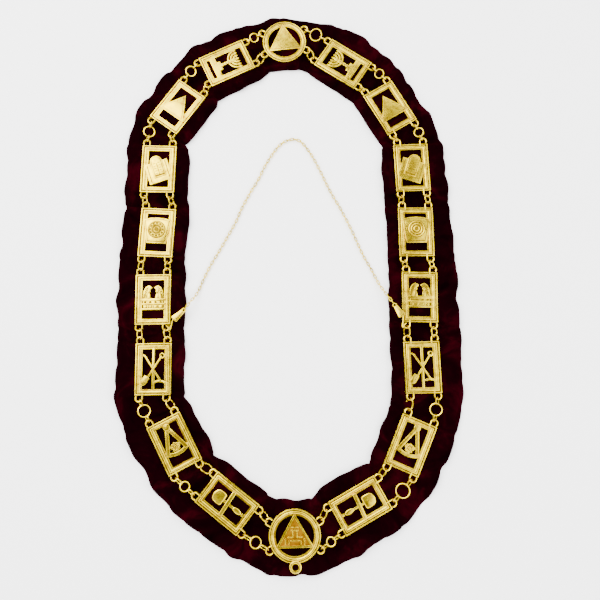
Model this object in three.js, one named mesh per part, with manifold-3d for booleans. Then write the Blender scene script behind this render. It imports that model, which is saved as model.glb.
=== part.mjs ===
// A chain of office laid flat: sixteen pierced plates and two round medallions, joined by jump rings over a
// padded velvet collar, with a fine chain clipped across the neck opening.
// Millimetres, +Z up, +Y towards the top medallion.

import * as THREE from 'three';
import { mergeVertices } from 'three/addons/utils/BufferGeometryUtils.js';
import Module from 'manifold-3d';

const wasm = await Module();
wasm.setup();

// Driving dimensions
const CLEARANCE = 0.3;
const VELVET_HALF_WIDTH = 29;
const VELVET_THICKNESS = 5.6;
const PLATE_LENGTH = 42;
const PLATE_WIDTH = 29.4;
const BORDER_SIDE = 5.7;
const BORDER_END = 4.9;
const FRAME_HEIGHT = 2.2;
const EMBLEM_HEIGHT = 1.6;
const OVERLAY_HEIGHT = 2.7;
const MEDALLION_TOP_DIAMETER = 38.3;
const MEDALLION_BOTTOM_DIAMETER = 40.7;
const MEDALLION_TOP_RIM = 4.8;
const MEDALLION_BOTTOM_RIM = 5.2;
const JEWEL_LOOP_BORE = 4.7;
const JEWEL_LOOP_WALL = 2.65;
const JEWEL_LOOP_THICKNESS = 2.2;
const GAP_LENGTH = 15;
const HOOK_WIRE = 1.4;
const HOOK_LEG = 2.35;
const HOOK_INSET = 3.5;
const HOOK_PLAY = 1.1;
const MEDALLION_HOOK_ANGLE = 28.5;
const MEDALLION_TOP_TURN = 5;
const RING_WIRE = 1.1;
const NECK_CHAIN_WIDTH = 2.0;
const NECK_CHAIN_LIFT = 0.05;
const CLASP_WIRE = 0.9;
const CLASP_LENGTH = 11.5;
const CLASP_WIDE_END = 6.4;
const CLASP_NARROW_END = 3.4;
const CLASP_THICKNESS = 1.3;
const CLASP_EYE_BORE = 1.8;
const CLASP_EYE_WALL = 1.1;

// Sizes worked out from the driving dimensions
const PLATE_FLOOR = VELVET_THICKNESS + CLEARANCE;
const HOOK_BORE = RING_WIRE + CLASP_WIRE + 3 * CLEARANCE + HOOK_PLAY;
const HOOK_RADIUS = (HOOK_BORE + HOOK_WIRE) / 2;
const HOOK_LEVEL = HOOK_WIRE / 2 + CLEARANCE;
const HOOK_HEIGHT = PLATE_FLOOR + HOOK_LEVEL;
const WINDOW_WIDTH = PLATE_WIDTH - 2 * BORDER_SIDE;
const WINDOW_LENGTH = PLATE_LENGTH - 2 * BORDER_END;
const RING_SEAT = HOOK_BORE / 2 - RING_WIRE / 2 - 1.5 * CLEARANCE;

// The collar's path, from the top medallion down each side. heading: direction of the step to this plate,
// degrees outwards from straight down. step: its length as a share of the length of the two pieces' halves
// and the gap. turn: the plate's own long axis, counted as heading is. outer, inner: reach of the velvet's
// edges at the plate's upper end, middle and lower end, as shares of the velvet's half width. tuck: how far
// the outer and inner edges are drawn in at the gap below. rings: the outer and inner sets above the plate.
// clasped: the plate's lower inner hook takes a clasp.
const LEFT_SIDE = [
  {
    heading: 69.5, step: 0.99, turn: 66,
    outer: [1.08, 1.1, 1.08], inner: [0.85, 0.89, 0.95],
    tuck: [0.05, 0.03], rings: ['eye', 'one'],
  },
  {
    heading: 47, step: 1.035, turn: 37,
    outer: [1.06, 1.06, 1.01], inner: [0.91, 0.92, 0.89],
    tuck: [0.02, 0.08], rings: ['eye', 'one'],
  },
  {
    heading: 16, step: 1.03, turn: 2.5,
    outer: [1.06, 1.04, 1.02], inner: [0.87, 0.91, 0.89],
    tuck: [0.01, 0.04], rings: ['eye', 'one'],
  },
  {
    heading: 0.5, step: 0.985, turn: 4,
    outer: [1.08, 1.1, 1.11], inner: [0.89, 0.89, 0.87],
    tuck: [0.03, 0.05], rings: ['open', 'one'],
  },
  {
    heading: 2.5, step: 1.0, turn: 0.5, clasped: true,
    outer: [1.1, 1.13, 1.08], inner: [0.92, 0.93, 0.9],
    tuck: [0.03, 0.04], rings: ['open', 'one'],
  },
  {
    heading: -1, step: 1.005, turn: 0.5,
    outer: [1.11, 1.14, 1.18], inner: [0.88, 0.87, 0.89],
    tuck: [0.06, 0.06], rings: ['open', 'one'],
  },
  {
    heading: -16.5, step: 1.09, turn: -26,
    outer: [1.21, 1.2, 1.14], inner: [0.84, 0.87, 0.87],
    tuck: [0.04, 0.05], rings: ['eye', 'one'],
  },
  {
    heading: -42, step: 1.1, turn: -51,
    outer: [1.17, 1.15, 1.1], inner: [0.83, 0.86, 0.85],
    tuck: [0.03, 0.06], rings: ['three', 'one'],
  },
];
const RIGHT_SIDE = [
  {
    heading: 66.5, step: 1.015, turn: 55.5,
    outer: [1.12, 1.18, 1.09], inner: [0.79, 0.8, 0.82],
    tuck: [0.04, 0.04], rings: ['eye', 'one'],
  },
  {
    heading: 43, step: 1.015, turn: 29,
    outer: [1.04, 1.02, 1.05], inner: [0.84, 0.85, 0.84],
    tuck: [0.07, 0.06], rings: ['eye', 'one'],
  },
  {
    heading: 16.5, step: 1.01, turn: 1,
    outer: [1.05, 1.09, 1.09], inner: [0.87, 0.9, 0.86],
    tuck: [0.02, 0.03], rings: ['eye', 'one'],
  },
  {
    heading: 0.5, step: 0.995, turn: -1,
    outer: [1.09, 1.16, 1.2], inner: [0.89, 0.87, 0.85],
    tuck: [0.03, 0.05], rings: ['open', 'one'],
  },
  {
    heading: 0, step: 0.975, turn: -2.5, clasped: true,
    outer: [1.18, 1.17, 1.2], inner: [0.9, 0.89, 0.88],
    tuck: [0.02, 0.05], rings: ['open', 'one'],
  },
  {
    heading: -1, step: 1.015, turn: 0,
    outer: [1.21, 1.2, 1.22], inner: [0.89, 0.88, 0.9],
    tuck: [0.04, 0.04], rings: ['open', 'one'],
  },
  {
    heading: -12, step: 1.1, turn: -24.5,
    outer: [1.15, 1.17, 1.1], inner: [0.94, 0.9, 0.9],
    tuck: [0.03, 0.07], rings: ['eye', 'one'],
  },
  {
    heading: -43, step: 1.085, turn: -62,
    outer: [1.11, 1.18, 1.2], inner: [0.88, 0.94, 0.92],
    tuck: [0.04, 0.05], rings: ['eye', 'one'],
  },
];
// The last step of each side, to the bottom medallion
const LEFT_CLOSING = { heading: -64, step: 1.04, rings: ['three', 'one'] };
const RIGHT_CLOSING = { heading: -67.5, step: 0.995, rings: ['three', 'one'] };
// The velvet under the medallions, written as above from right to left at the top and left to right below
const TOP_VELVET = { outer: [0.92, 0.93, 0.92], inner: [0.86, 0.85, 0.9], tuck: [0.06, 0.04] };
const BOTTOM_VELVET = { outer: [1.1, 1.13, 1.1], inner: [0.94, 0.92, 0.95], tuck: [0.03, 0.05] };

// Half section of the velvet from the outer edge to the inner: share of the width, share of the thickness
const VELVET_SECTION = [
  [0.015, 0], [0, 0.42], [0.05, 0.86], [0.17, 1], [0.83, 1], [0.95, 0.86], [1, 0.42], [0.985, 0],
];
// Across a gap: place between the two plates, share of the tuck, share of the thickness
const GROOVE = [
  { place: 0.14, tuck: 1.0, depth: 0.16 },
  { place: 0.86, tuck: 0.55, depth: 0.16 },
];
const EDGE_ROUNDING = 0.38;
const TOP_PLACE = 209;

// Route of the chain across the neck opening, from left to right: x, y of its centre where it lies flat
const NECK_ROUTE = [
  [-75.6, -9.6], [-72.6, -2.6], [-66.2, 10.1], [-59.1, 21.9], [-52.2, 34], [-45.4, 46], [-40.2, 57.9],
  [-32.2, 72.8], [-25.2, 84.2], [-19, 96.7], [-10.4, 110.1], [-3.6, 117], [3.1, 119.8], [9.2, 119.4],
  [14.2, 115.9], [21.7, 104.7], [28.3, 91], [37.1, 71.1], [45.1, 55.9], [53.8, 37.2], [62.2, 16.2],
  [69.2, 2.4],
];
// From each clasp's eye down to that route: x, y from the eye's middle, share of the velvet's height
const NECK_ENDS = {
  left: [[1.7, 2.0, 1.2], [5.8, 7.5, 1.04], [9.1, 12.3, 0.5]],
  right: [[-1.4, 2.2, 1.22], [-6.5, 10.1, 0.88], [-11.4, 18.8, 0.31]],
};
const NECK_CHAIN_SIDES = 6;
const NECK_CHAIN_STEPS = 62;

const GOLD = new THREE.MeshStandardMaterial({ name: 'gilt', color: 0xe6c667, roughness: 0.32, metalness: 1 });
const VELVET = new THREE.MeshStandardMaterial({ name: 'velvet', color: 0x2a0610, roughness: 0.95 });

const radians = THREE.MathUtils.degToRad;

// Solids, joined and cut with manifold-3d. Corners closer together than WELD become one.
const WELD = 0.03;

function toSolid(geometry) {
  const plain = geometry.clone();
  plain.deleteAttribute('normal');
  plain.deleteAttribute('uv');
  const merged = mergeVertices(plain, 1e-4);
  const positions = new Float32Array(merged.attributes.position.array);
  const triangles = new Uint32Array(merged.index.array);
  return new wasm.Manifold(new wasm.Mesh({ numProp: 3, vertProperties: positions, triVerts: triangles }));
}

function toGeometry(solid) {
  const mesh = solid.asOriginal().simplify(WELD).getMesh();
  const geometry = new THREE.BufferGeometry();
  geometry.setAttribute('position', new THREE.BufferAttribute(new Float32Array(mesh.vertProperties), 3));
  geometry.setIndex(new THREE.BufferAttribute(new Uint32Array(mesh.triVerts), 1));
  const flat = geometry.toNonIndexed();
  flat.computeVertexNormals();
  return flat;
}

function join(geometries) {
  return geometries.map(toSolid).reduce((sum, solid) => sum.add(solid));
}

function plate2d(shape, height, floor = 0) {
  const geometry = new THREE.ExtrudeGeometry(shape, { depth: height, bevelEnabled: false });
  return geometry.translate(0, 0, floor);
}

// Sweeps a round section along points; the ends are flat
function wire(points, diameter, sides, steps) {
  const section = new THREE.Shape();
  for (let side = 0; side < sides; side += 1) {
    const angle = (2 * Math.PI * side) / sides;
    const x = (diameter / 2) * Math.cos(angle);
    const y = (diameter / 2) * Math.sin(angle);
    if (side === 0) section.moveTo(x, y);
    else section.lineTo(x, y);
  }
  section.closePath();
  const path = new THREE.CatmullRomCurve3(points, false, 'centripetal');
  return new THREE.ExtrudeGeometry(section, { steps, bevelEnabled: false, extrudePath: path });
}

// Plane outlines, in shares of a window that is one wide and one long

function outline(points) {
  return new THREE.Shape(points.map(([x, y]) => new THREE.Vector2(x, y)));
}

function bar(x, y, width, length, turn = 0) {
  const cos = Math.cos(radians(turn));
  const sin = Math.sin(radians(turn));
  const corners = [[-1, -1], [1, -1], [1, 1], [-1, 1]];
  return outline(corners.map(([sx, sy]) => {
    const u = (sx * width) / 2;
    const v = (sy * length) / 2;
    return [x + u * cos - v * sin, y + u * sin + v * cos];
  }));
}

const ARC_STEP = 32;

function arc(x, y, radius, from, to) {
  const steps = Math.ceil(Math.abs(to - from) / ARC_STEP);
  return Array.from({ length: steps + 1 }, (_, step) => {
    const angle = radians(from + ((to - from) * step) / steps);
    return [x + radius * Math.cos(angle), y + radius * Math.sin(angle)];
  });
}

function disc(x, y, radius) {
  return outline(arc(x, y, radius, 0, 360).slice(1));
}

function arcBand(x, y, radius, width, from, to) {
  return outline([...arc(x, y, radius + width / 2, from, to), ...arc(x, y, radius - width / 2, to, from)]);
}

function annulus(x, y, radius, width) {
  const shape = disc(x, y, radius + width / 2);
  shape.holes.push(disc(x, y, radius - width / 2));
  return shape;
}

// Emblems. Each is a list of { shape, height } in millimetres about the plate's middle, with the top
// medallion above. W and L are the window's width and length; what reaches the frame overlaps its border.

const W = WINDOW_WIDTH;
const L = WINDOW_LENGTH;
const SIDE_REACH = W / 2 + BORDER_SIDE * 0.25;
const END_REACH = L / 2 + BORDER_END * 0.25;

function candlestand() {
  const barWidth = W * 0.085;
  const centre = L * 0.3;
  const branches = [0.16, 0.3, 0.44].map((share) => (
    { shape: arcBand(0, centre, W * share, barWidth, 180, 360), height: EMBLEM_HEIGHT }
  ));
  const cups = [-0.44, -0.3, -0.16, 0, 0.16, 0.3, 0.44].map((share) => (
    { shape: bar(W * share, centre + L * 0.02, W * 0.11, L * 0.07), height: EMBLEM_HEIGHT }
  ));
  return [
    ...branches,
    ...cups,
    { shape: bar(0, 0, barWidth * 1.2, L * 0.6), height: EMBLEM_HEIGHT },
    { shape: bar(0, -L * 0.21, W * 0.46, L * 0.1), height: EMBLEM_HEIGHT },
    { shape: bar(0, -L * 0.33, SIDE_REACH * 2, L * 0.16), height: EMBLEM_HEIGHT },
  ];
}

function triangle() {
  const half = PLATE_WIDTH * 0.45;
  return [{
    shape: outline([[-half, -L * 0.29], [half, -L * 0.29], [0, L * 0.38]]),
    height: OVERLAY_HEIGHT,
  }];
}

function tablets() {
  const sheet = bar(W * 0.02, -L * 0.08, W * 1.14, L * 0.58, 20);
  const half = W * 0.3;
  const upright = [[-half, -L * 0.24], [half, -L * 0.24], ...arc(0, L * 0.2, half, 0, 180)];
  const arched = new THREE.Shape(upright.map(([x, y]) => (
    new THREE.Vector2(x, y).rotateAround(new THREE.Vector2(0, 0), radians(20))
  )));
  return [{ shape: sheet, height: EMBLEM_HEIGHT }, { shape: arched, height: OVERLAY_HEIGHT }];
}

function keystone() {
  const stone = outline([
    [-W * 0.46, -L * 0.3], [W * 0.46, -L * 0.3], [W * 0.66, L * 0.34], [W * 0.34, L * 0.385], [0, L * 0.4],
    [-W * 0.34, L * 0.385], [-W * 0.66, L * 0.34],
  ]);
  return [
    { shape: stone, height: OVERLAY_HEIGHT },
    { shape: annulus(0, L * 0.08, W * 0.34, W * 0.05), height: OVERLAY_HEIGHT + CLEARANCE },
  ];
}

function chest() {
  const wings = [-1, 1].map((side) => ({
    shape: outline([
      [side * W * 0.03, L * 0.31], [side * W * 0.22, L * 0.37], [side * W * 0.45, L * 0.24],
      [side * W * 0.49, 0], [side * W * 0.22, 0], [side * W * 0.2, L * 0.14],
    ]),
    height: EMBLEM_HEIGHT,
  }));
  const figures = [-1, 1].map((side) => (
    { shape: disc(side * W * 0.2, L * 0.17, W * 0.085), height: EMBLEM_HEIGHT * 1.2 }
  ));
  return [
    ...wings,
    ...figures,
    { shape: bar(0, -L * 0.01, SIDE_REACH * 2, L * 0.07), height: EMBLEM_HEIGHT * 1.2 },
    { shape: bar(0, -L * 0.14, W * 0.92, L * 0.22), height: EMBLEM_HEIGHT },
    { shape: bar(0, -L * 0.12, SIDE_REACH * 2, L * 0.05), height: OVERLAY_HEIGHT },
    { shape: bar(0, -L * 0.25, SIDE_REACH * 2, L * 0.05), height: EMBLEM_HEIGHT * 1.2 },
  ];
}

function crossedTools() {
  const lean = THREE.MathUtils.radToDeg(Math.atan2(W * 0.45, L * 0.39));
  return [
    { shape: bar(0, 0, W * 0.12, END_REACH * 2), height: EMBLEM_HEIGHT },
    { shape: bar(0, 0, W * 0.085, L * 0.78, -lean), height: EMBLEM_HEIGHT },
    { shape: bar(0, 0, W * 0.085, L * 0.78, lean), height: EMBLEM_HEIGHT * 1.15 },
    { shape: annulus(W * 0.38, L * 0.33, W * 0.09, W * 0.055), height: EMBLEM_HEIGHT },
    { shape: bar(-W * 0.39, -L * 0.29, W * 0.24, L * 0.24, -lean), height: EMBLEM_HEIGHT },
    { shape: bar(W * 0.4, -L * 0.31, W * 0.42, L * 0.06, 8), height: EMBLEM_HEIGHT * 1.15 },
    { shape: bar(-W * 0.4, L * 0.33, W * 0.2, L * 0.05, -lean), height: EMBLEM_HEIGHT },
  ];
}

function dividers() {
  const spread = W * 0.46;
  const drop = L * 0.66;
  const lean = THREE.MathUtils.radToDeg(Math.atan2(spread, drop));
  const sweep = THREE.MathUtils.radToDeg(Math.asin(SIDE_REACH / (L * 0.55)));
  const legs = [-1, 1].map((side) => ({
    shape: bar(side * spread * 0.5, L * 0.45 - drop * 0.5, W * 0.14, Math.hypot(spread, drop), side * lean),
    height: EMBLEM_HEIGHT * 1.15,
  }));
  return [
    ...legs,
    { shape: disc(0, L * 0.45, W * 0.16), height: OVERLAY_HEIGHT },
    { shape: arcBand(0, L * 0.3, L * 0.55, L * 0.09, 270 - sweep, 270 + sweep), height: EMBLEM_HEIGHT },
    { shape: disc(0, -L * 0.08, W * 0.2), height: EMBLEM_HEIGHT },
    { shape: bar(0, -L * 0.04, W * 0.62, L * 0.05), height: EMBLEM_HEIGHT },
    { shape: bar(0, -L * 0.19, W * 0.16, L * 0.12), height: EMBLEM_HEIGHT },
  ];
}

function crossAndTrowel() {
  const blade = outline([
    [-W * 0.2, L * 0.08], [W * 0.2, L * 0.08], [W * 0.29, L * 0.22], [W * 0.2, L * 0.37], [0, L * 0.43],
    [-W * 0.2, L * 0.37], [-W * 0.29, L * 0.22],
  ]);
  return [
    { shape: blade, height: EMBLEM_HEIGHT },
    { shape: bar(0, L * 0.03, W * 0.11, L * 0.2), height: EMBLEM_HEIGHT },
    { shape: bar(0, -L * 0.01, SIDE_REACH * 2, L * 0.1, 4), height: OVERLAY_HEIGHT },
    { shape: bar(0, -L * 0.14, W * 0.12, L * 0.22), height: EMBLEM_HEIGHT },
    { shape: bar(0, -L * 0.31, W * 0.24, L * 0.24), height: EMBLEM_HEIGHT },
    { shape: bar(0, -(L / 2 + END_REACH) / 2, W * 0.12, L * 0.16), height: EMBLEM_HEIGHT },
  ];
}

// Emblems from the top plate down. Those that mirror do so on the right side's plates.
const EMBLEMS = [
  { draw: candlestand, mirrors: true },
  { draw: triangle, mirrors: true },
  { draw: tablets, mirrors: true },
  { draw: keystone, mirrors: true },
  { draw: chest, mirrors: true },
  { draw: crossedTools, mirrors: false },
  { draw: dividers, mirrors: true },
  { draw: crossAndTrowel, mirrors: true },
];

// Mirrors a shape left to right and keeps it wound the same way
function mirrored(shape) {
  const flip = (points) => points.map((point) => new THREE.Vector2(-point.x, point.y)).reverse();
  const { shape: contour, holes } = shape.extractPoints(1);
  const turned = new THREE.Shape(flip(contour));
  turned.holes = holes.map((hole) => new THREE.Path(flip(hole)));
  return turned;
}

// Moulded border, from the outer foot to the inner: share of the border's width, share of its height
const MOULDING = [
  [0, 0], [0, 0.75], [0.17, 0.75], [0.29, 0.5], [0.55, 1], [1, 0.7], [1, 0],
];

function plateFrame() {
  const OUTER = 2;
  const profile = MOULDING.map(([inset, height]) => new THREE.Vector2(OUTER - inset, height));
  profile.push(profile[0].clone());
  const ring = new THREE.LatheGeometry(profile, 4, Math.PI / 4).rotateX(Math.PI / 2);
  const position = ring.attributes.position;
  for (let i = 0; i < position.count; i += 1) {
    const inset = OUTER - Math.hypot(position.getX(i), position.getY(i));
    position.setXYZ(
      i,
      Math.sign(position.getX(i)) * (PLATE_WIDTH / 2 - inset * BORDER_SIDE),
      Math.sign(position.getY(i)) * (PLATE_LENGTH / 2 - inset * BORDER_END),
      position.getZ(i) * FRAME_HEIGHT,
    );
  }
  return ring;
}

function roundFrame(diameter, rim) {
  const profile = MOULDING.map(([inset, height]) => (
    new THREE.Vector2(diameter / 2 - inset * rim, height * FRAME_HEIGHT)
  ));
  profile.push(profile[0].clone());
  return new THREE.LatheGeometry(profile, 20).rotateX(Math.PI / 2);
}

const HOOK_WIRE_SIDES = 4;
const HOOK_STEPS = 5;

// Open hook of round wire, lying flat. Its leg stands on the edge at the origin and runs towards +Y; the
// loop curls over to the side given, and its free tip stops short of the edge.
function hook(side) {
  const points = [new THREE.Vector3(-side * HOOK_RADIUS, -HOOK_WIRE, HOOK_LEVEL)];
  for (const angle of [180, 126, 72, 18, -36]) {
    points.push(new THREE.Vector3(
      side * HOOK_RADIUS * Math.cos(radians(angle)),
      HOOK_LEG + HOOK_RADIUS * Math.sin(radians(angle)),
      HOOK_LEVEL,
    ));
  }
  return wire(points, HOOK_WIRE, HOOK_WIRE_SIDES, HOOK_STEPS);
}

const HOOK_SIDE = PLATE_WIDTH / 2 - HOOK_INSET;

function plateSolid({ draw, mirrors }, isRight) {
  const pieces = [plateFrame()];
  for (const { shape, height } of draw()) {
    pieces.push(plate2d(isRight && mirrors ? mirrored(shape) : shape, height));
  }
  for (const end of [1, -1]) {
    for (const side of [1, -1]) {
      const oneHook = hook(side * end).translate(side * end * HOOK_SIDE, PLATE_LENGTH / 2, 0);
      pieces.push(end === 1 ? oneHook : oneHook.rotateZ(Math.PI));
    }
  }
  return toGeometry(join(pieces));
}

// Layout: every plate and medallion as a middle, a direction of travel round the collar, a length and the
// share of that length under which the velvet stands at its full height
const MEDALLION_BEDDING = 0.62;

function direction(side, heading) {
  return new THREE.Vector2(side * Math.sin(radians(heading)), -Math.cos(radians(heading)));
}

function walk(rows, closing, side) {
  const places = [];
  const current = new THREE.Vector2(0, TOP_PLACE);
  let half = MEDALLION_TOP_DIAMETER / 2;
  for (const row of rows) {
    const length = (half + GAP_LENGTH + PLATE_LENGTH / 2) * row.step;
    current.addScaledVector(direction(side, row.heading), length);
    places.push({
      middle: current.clone(),
      along: direction(side, row.turn),
      length: PLATE_LENGTH,
      bedding: 1,
      row,
    });
    half = PLATE_LENGTH / 2;
  }
  const last = (half + GAP_LENGTH + MEDALLION_BOTTOM_DIAMETER / 2) * closing.step;
  const end = current.clone().addScaledVector(direction(side, closing.heading), last);
  return { places, end };
}

const left = walk(LEFT_SIDE, LEFT_CLOSING, -1);
const right = walk(RIGHT_SIDE, RIGHT_CLOSING, 1);
const bottomPlace = left.end.clone().add(right.end).multiplyScalar(0.5);

// Spreads what is left open at the bottom evenly over one side's steps
function close({ places, end }) {
  const rest = bottomPlace.clone().sub(end);
  places.forEach((place, index) => place.middle.addScaledVector(rest, (index + 1) / (places.length + 1)));
}
close(left);
close(right);

const topItem = {
  middle: new THREE.Vector2(0, TOP_PLACE),
  along: new THREE.Vector2(-1, 0),
  length: MEDALLION_TOP_DIAMETER,
  bedding: MEDALLION_BEDDING,
  turn: MEDALLION_TOP_TURN,
  row: TOP_VELVET,
};
const bottomItem = {
  middle: bottomPlace,
  along: new THREE.Vector2(1, 0),
  length: MEDALLION_BOTTOM_DIAMETER,
  bedding: MEDALLION_BEDDING,
  turn: 0,
  row: BOTTOM_VELVET,
};

// Velvet collar: sections across the band, lofted all the way round

function velvetSections(item, reversed) {
  const across = new THREE.Vector2(item.along.y, -item.along.x).multiplyScalar(reversed ? -1 : 1);
  return [-0.5, 0, 0.5].map((share, index) => {
    const foot = item.middle.clone().addScaledVector(item.along, share * item.bedding * item.length);
    return {
      outer: foot.clone().addScaledVector(across, item.row.outer[index] * VELVET_HALF_WIDTH),
      inner: foot.clone().addScaledVector(across, -item.row.inner[index] * VELVET_HALF_WIDTH),
      along: item.along.clone().multiplyScalar(reversed ? -1 : 1),
      depth: 1,
    };
  });
}

// A point of one edge over a gap, on a curve that leaves and meets the plates' directions
function edgeOverGap(before, after, edge, place) {
  const reach = before[edge].distanceTo(after[edge]) * EDGE_ROUNDING;
  return new THREE.CubicBezierCurve(
    before[edge],
    before[edge].clone().addScaledVector(before.along, reach),
    after[edge].clone().addScaledVector(after.along, -reach),
    after[edge],
  ).getPoint(place);
}

function grooveSections(before, after, tuck) {
  return GROOVE.map(({ place, tuck: share, depth }) => {
    const outer = edgeOverGap(before, after, 'outer', place);
    const inner = edgeOverGap(before, after, 'inner', place);
    return {
      outer: outer.clone().lerp(inner, (tuck[0] * share) / 2),
      inner: inner.clone().lerp(outer, (tuck[1] * share) / 2),
      depth,
    };
  });
}

// The band's stretches in order round the collar, each with the tuck that follows it
function velvetStretches() {
  const down = left.places.map((item) => ({ sections: velvetSections(item, false), tuck: item.row.tuck }));
  const up = right.places.map((item, index) => ({
    sections: velvetSections(item, true).reverse(),
    tuck: index === 0 ? TOP_VELVET.tuck : RIGHT_SIDE[index - 1].tuck,
  })).reverse();
  return [
    { sections: velvetSections(topItem, false), tuck: TOP_VELVET.tuck },
    ...down,
    { sections: velvetSections(bottomItem, false), tuck: BOTTOM_VELVET.tuck },
    ...up,
  ];
}

function loftRound(rings) {
  const count = rings[0].length;
  const positions = rings.flat(2);
  const index = [];
  rings.forEach((_, r) => {
    const here = r * count;
    const next = ((r + 1) % rings.length) * count;
    for (let i = 0; i < count; i += 1) {
      const j = (i + 1) % count;
      index.push(here + i, next + i, next + j, here + i, next + j, here + j);
    }
  });
  const geometry = new THREE.BufferGeometry();
  geometry.setAttribute('position', new THREE.Float32BufferAttribute(positions, 3));
  geometry.setIndex(index);
  geometry.computeVertexNormals();
  return geometry;
}

function velvetGeometry() {
  const stretches = velvetStretches();
  const sections = stretches.flatMap(({ sections: own, tuck }, i) => {
    const following = stretches[(i + 1) % stretches.length].sections[0];
    return [...own, ...grooveSections(own[2], following, tuck)];
  });
  return loftRound(sections.map(({ outer, inner, depth }) => VELVET_SECTION.map(([share, height]) => {
    const point = outer.clone().lerp(inner, share);
    return [point.x, point.y, height * VELVET_THICKNESS * depth];
  })));
}

// Places of a plate's four hooks: the middle of each loop

function loopOf(item, end, side) {
  const across = new THREE.Vector2(-item.along.y, item.along.x);
  return item.middle.clone()
    .addScaledVector(item.along, end * (PLATE_LENGTH / 2 + HOOK_LEG))
    .addScaledVector(across, side * HOOK_SIDE);
}

// side is +1 on the outer edge of the collar, whichever way the plate faces
function plateHook(item, end, isOuter, isRight) {
  return loopOf(item, end, (isOuter ? -1 : 1) * (isRight ? -1 : 1));
}

// A medallion has two hooks on each side, above and below its level middle; their legs stand nearer to it.
// side: +1 on the right. level: +1 for the upper hook.
function medallionHook(item, side, level) {
  const midline = item.turn + (side > 0 ? 0 : 180);
  const angle = radians(midline + side * level * MEDALLION_HOOK_ANGLE);
  const outwards = new THREE.Vector2(Math.cos(angle), Math.sin(angle));
  const middle = item.middle.clone().addScaledVector(outwards, item.length / 2 + HOOK_LEG);
  return { angle, middle, curl: -side * level };
}

// Jump rings pulled straight between two hooks and fused where they touch. A set gives each ring's share of
// the gap and the degrees that it stands up from lying flat, from the upper hook to the lower. A ring lies
// nearly flat only where it hangs on other rings, as a hook lies flat itself.

const RING_SETS = {
  one: [{ share: 1, lean: 72 }],
  open: [{ share: 1, lean: 48 }],
  eye: [{ share: 0.66, lean: 58 }, { share: 1, lean: -14 }, { share: 0.66, lean: 58 }],
  three: [{ share: 1, lean: 60 }, { share: 1, lean: -14 }, { share: 1, lean: 60 }],
};
const RING_SIDES = 8;
const RING_WIRE_SIDES = 4;
const RING_FUSE = 0.08;
const GROOVE_ROOM = HOOK_HEIGHT - GROOVE[0].depth * VELVET_THICKNESS - RING_WIRE / 2 - 2 * CLEARANCE;

function ringGroup(from, to, set, leanSide) {
  const shared = RING_WIRE * Math.cos(Math.PI / RING_WIRE_SIDES) - RING_FUSE;
  const span = from.distanceTo(to) - 2 * RING_SEAT;
  const shares = set.reduce((sum, { share }) => sum + share, 0);
  const unit = (span + shared * (set.length - 1)) / (2 * shares);
  let start = -span / 2;
  const rings = set.map(({ share, lean }) => {
    const radius = unit * share;
    const steepest = THREE.MathUtils.radToDeg(Math.asin(Math.min(GROOVE_ROOM / radius, 1)));
    const ring = new THREE.TorusGeometry(radius, RING_WIRE / 2, RING_WIRE_SIDES, RING_SIDES);
    ring.rotateX(leanSide * radians(Math.min(lean, steepest)));
    ring.translate(start + radius, 0, 0);
    start += 2 * radius - shared;
    return ring;
  });
  const mesh = new THREE.Mesh(toGeometry(join(rings)), GOLD);
  const middle = from.clone().add(to).multiplyScalar(0.5);
  mesh.position.set(middle.x, middle.y, HOOK_HEIGHT);
  mesh.rotation.z = Math.atan2(to.y - from.y, to.x - from.x);
  return mesh;
}

// Clasps: a flat tapered body with an eye for the chain, and a sprung wire that drops into a plate's hook.
// eye: place of the eye's middle from the plate's hook. towards: place of the body's wide end from the eye.
// lift: height of the eye and of the wide end above the velvet. bulge: how far the wire bows out on its way.

// The wire leaves the body's wide end at this share of its thickness, and is rooted as deep as it stands out.
const CLASP_WIRE_LEVEL = 0.58;
const CLASP_WIRE_ROOT = 1;
const CLASP_WIRE_SIDES = 5;
const CLASP_WIRE_STEPS = 10;
const CLASPS = {
  left: { eye: [14.3, 14.1], towards: [-9.1, -8.6], lift: [0.3, 0.3], bulge: [3.6, -2.2] },
  right: { eye: [-8.8, 16.5], towards: [6.3, -11.2], lift: [0.7, 3.4], bulge: [-4, -2] },
};

function claspBody() {
  const eyeRadius = CLASP_EYE_BORE / 2 + CLASP_EYE_WALL;
  const body = outline([
    [eyeRadius * 0.6, -CLASP_NARROW_END / 2], [CLASP_LENGTH, -CLASP_WIDE_END / 2],
    [CLASP_LENGTH, CLASP_WIDE_END / 2], [eyeRadius * 0.6, CLASP_NARROW_END / 2],
  ]);
  const bore = plate2d(disc(0, 0, CLASP_EYE_BORE / 2), CLASP_THICKNESS * 3, -CLASP_THICKNESS);
  return join([plate2d(body, CLASP_THICKNESS), plate2d(disc(0, 0, eyeRadius), CLASP_THICKNESS)])
    .subtract(toSolid(bore));
}

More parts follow.
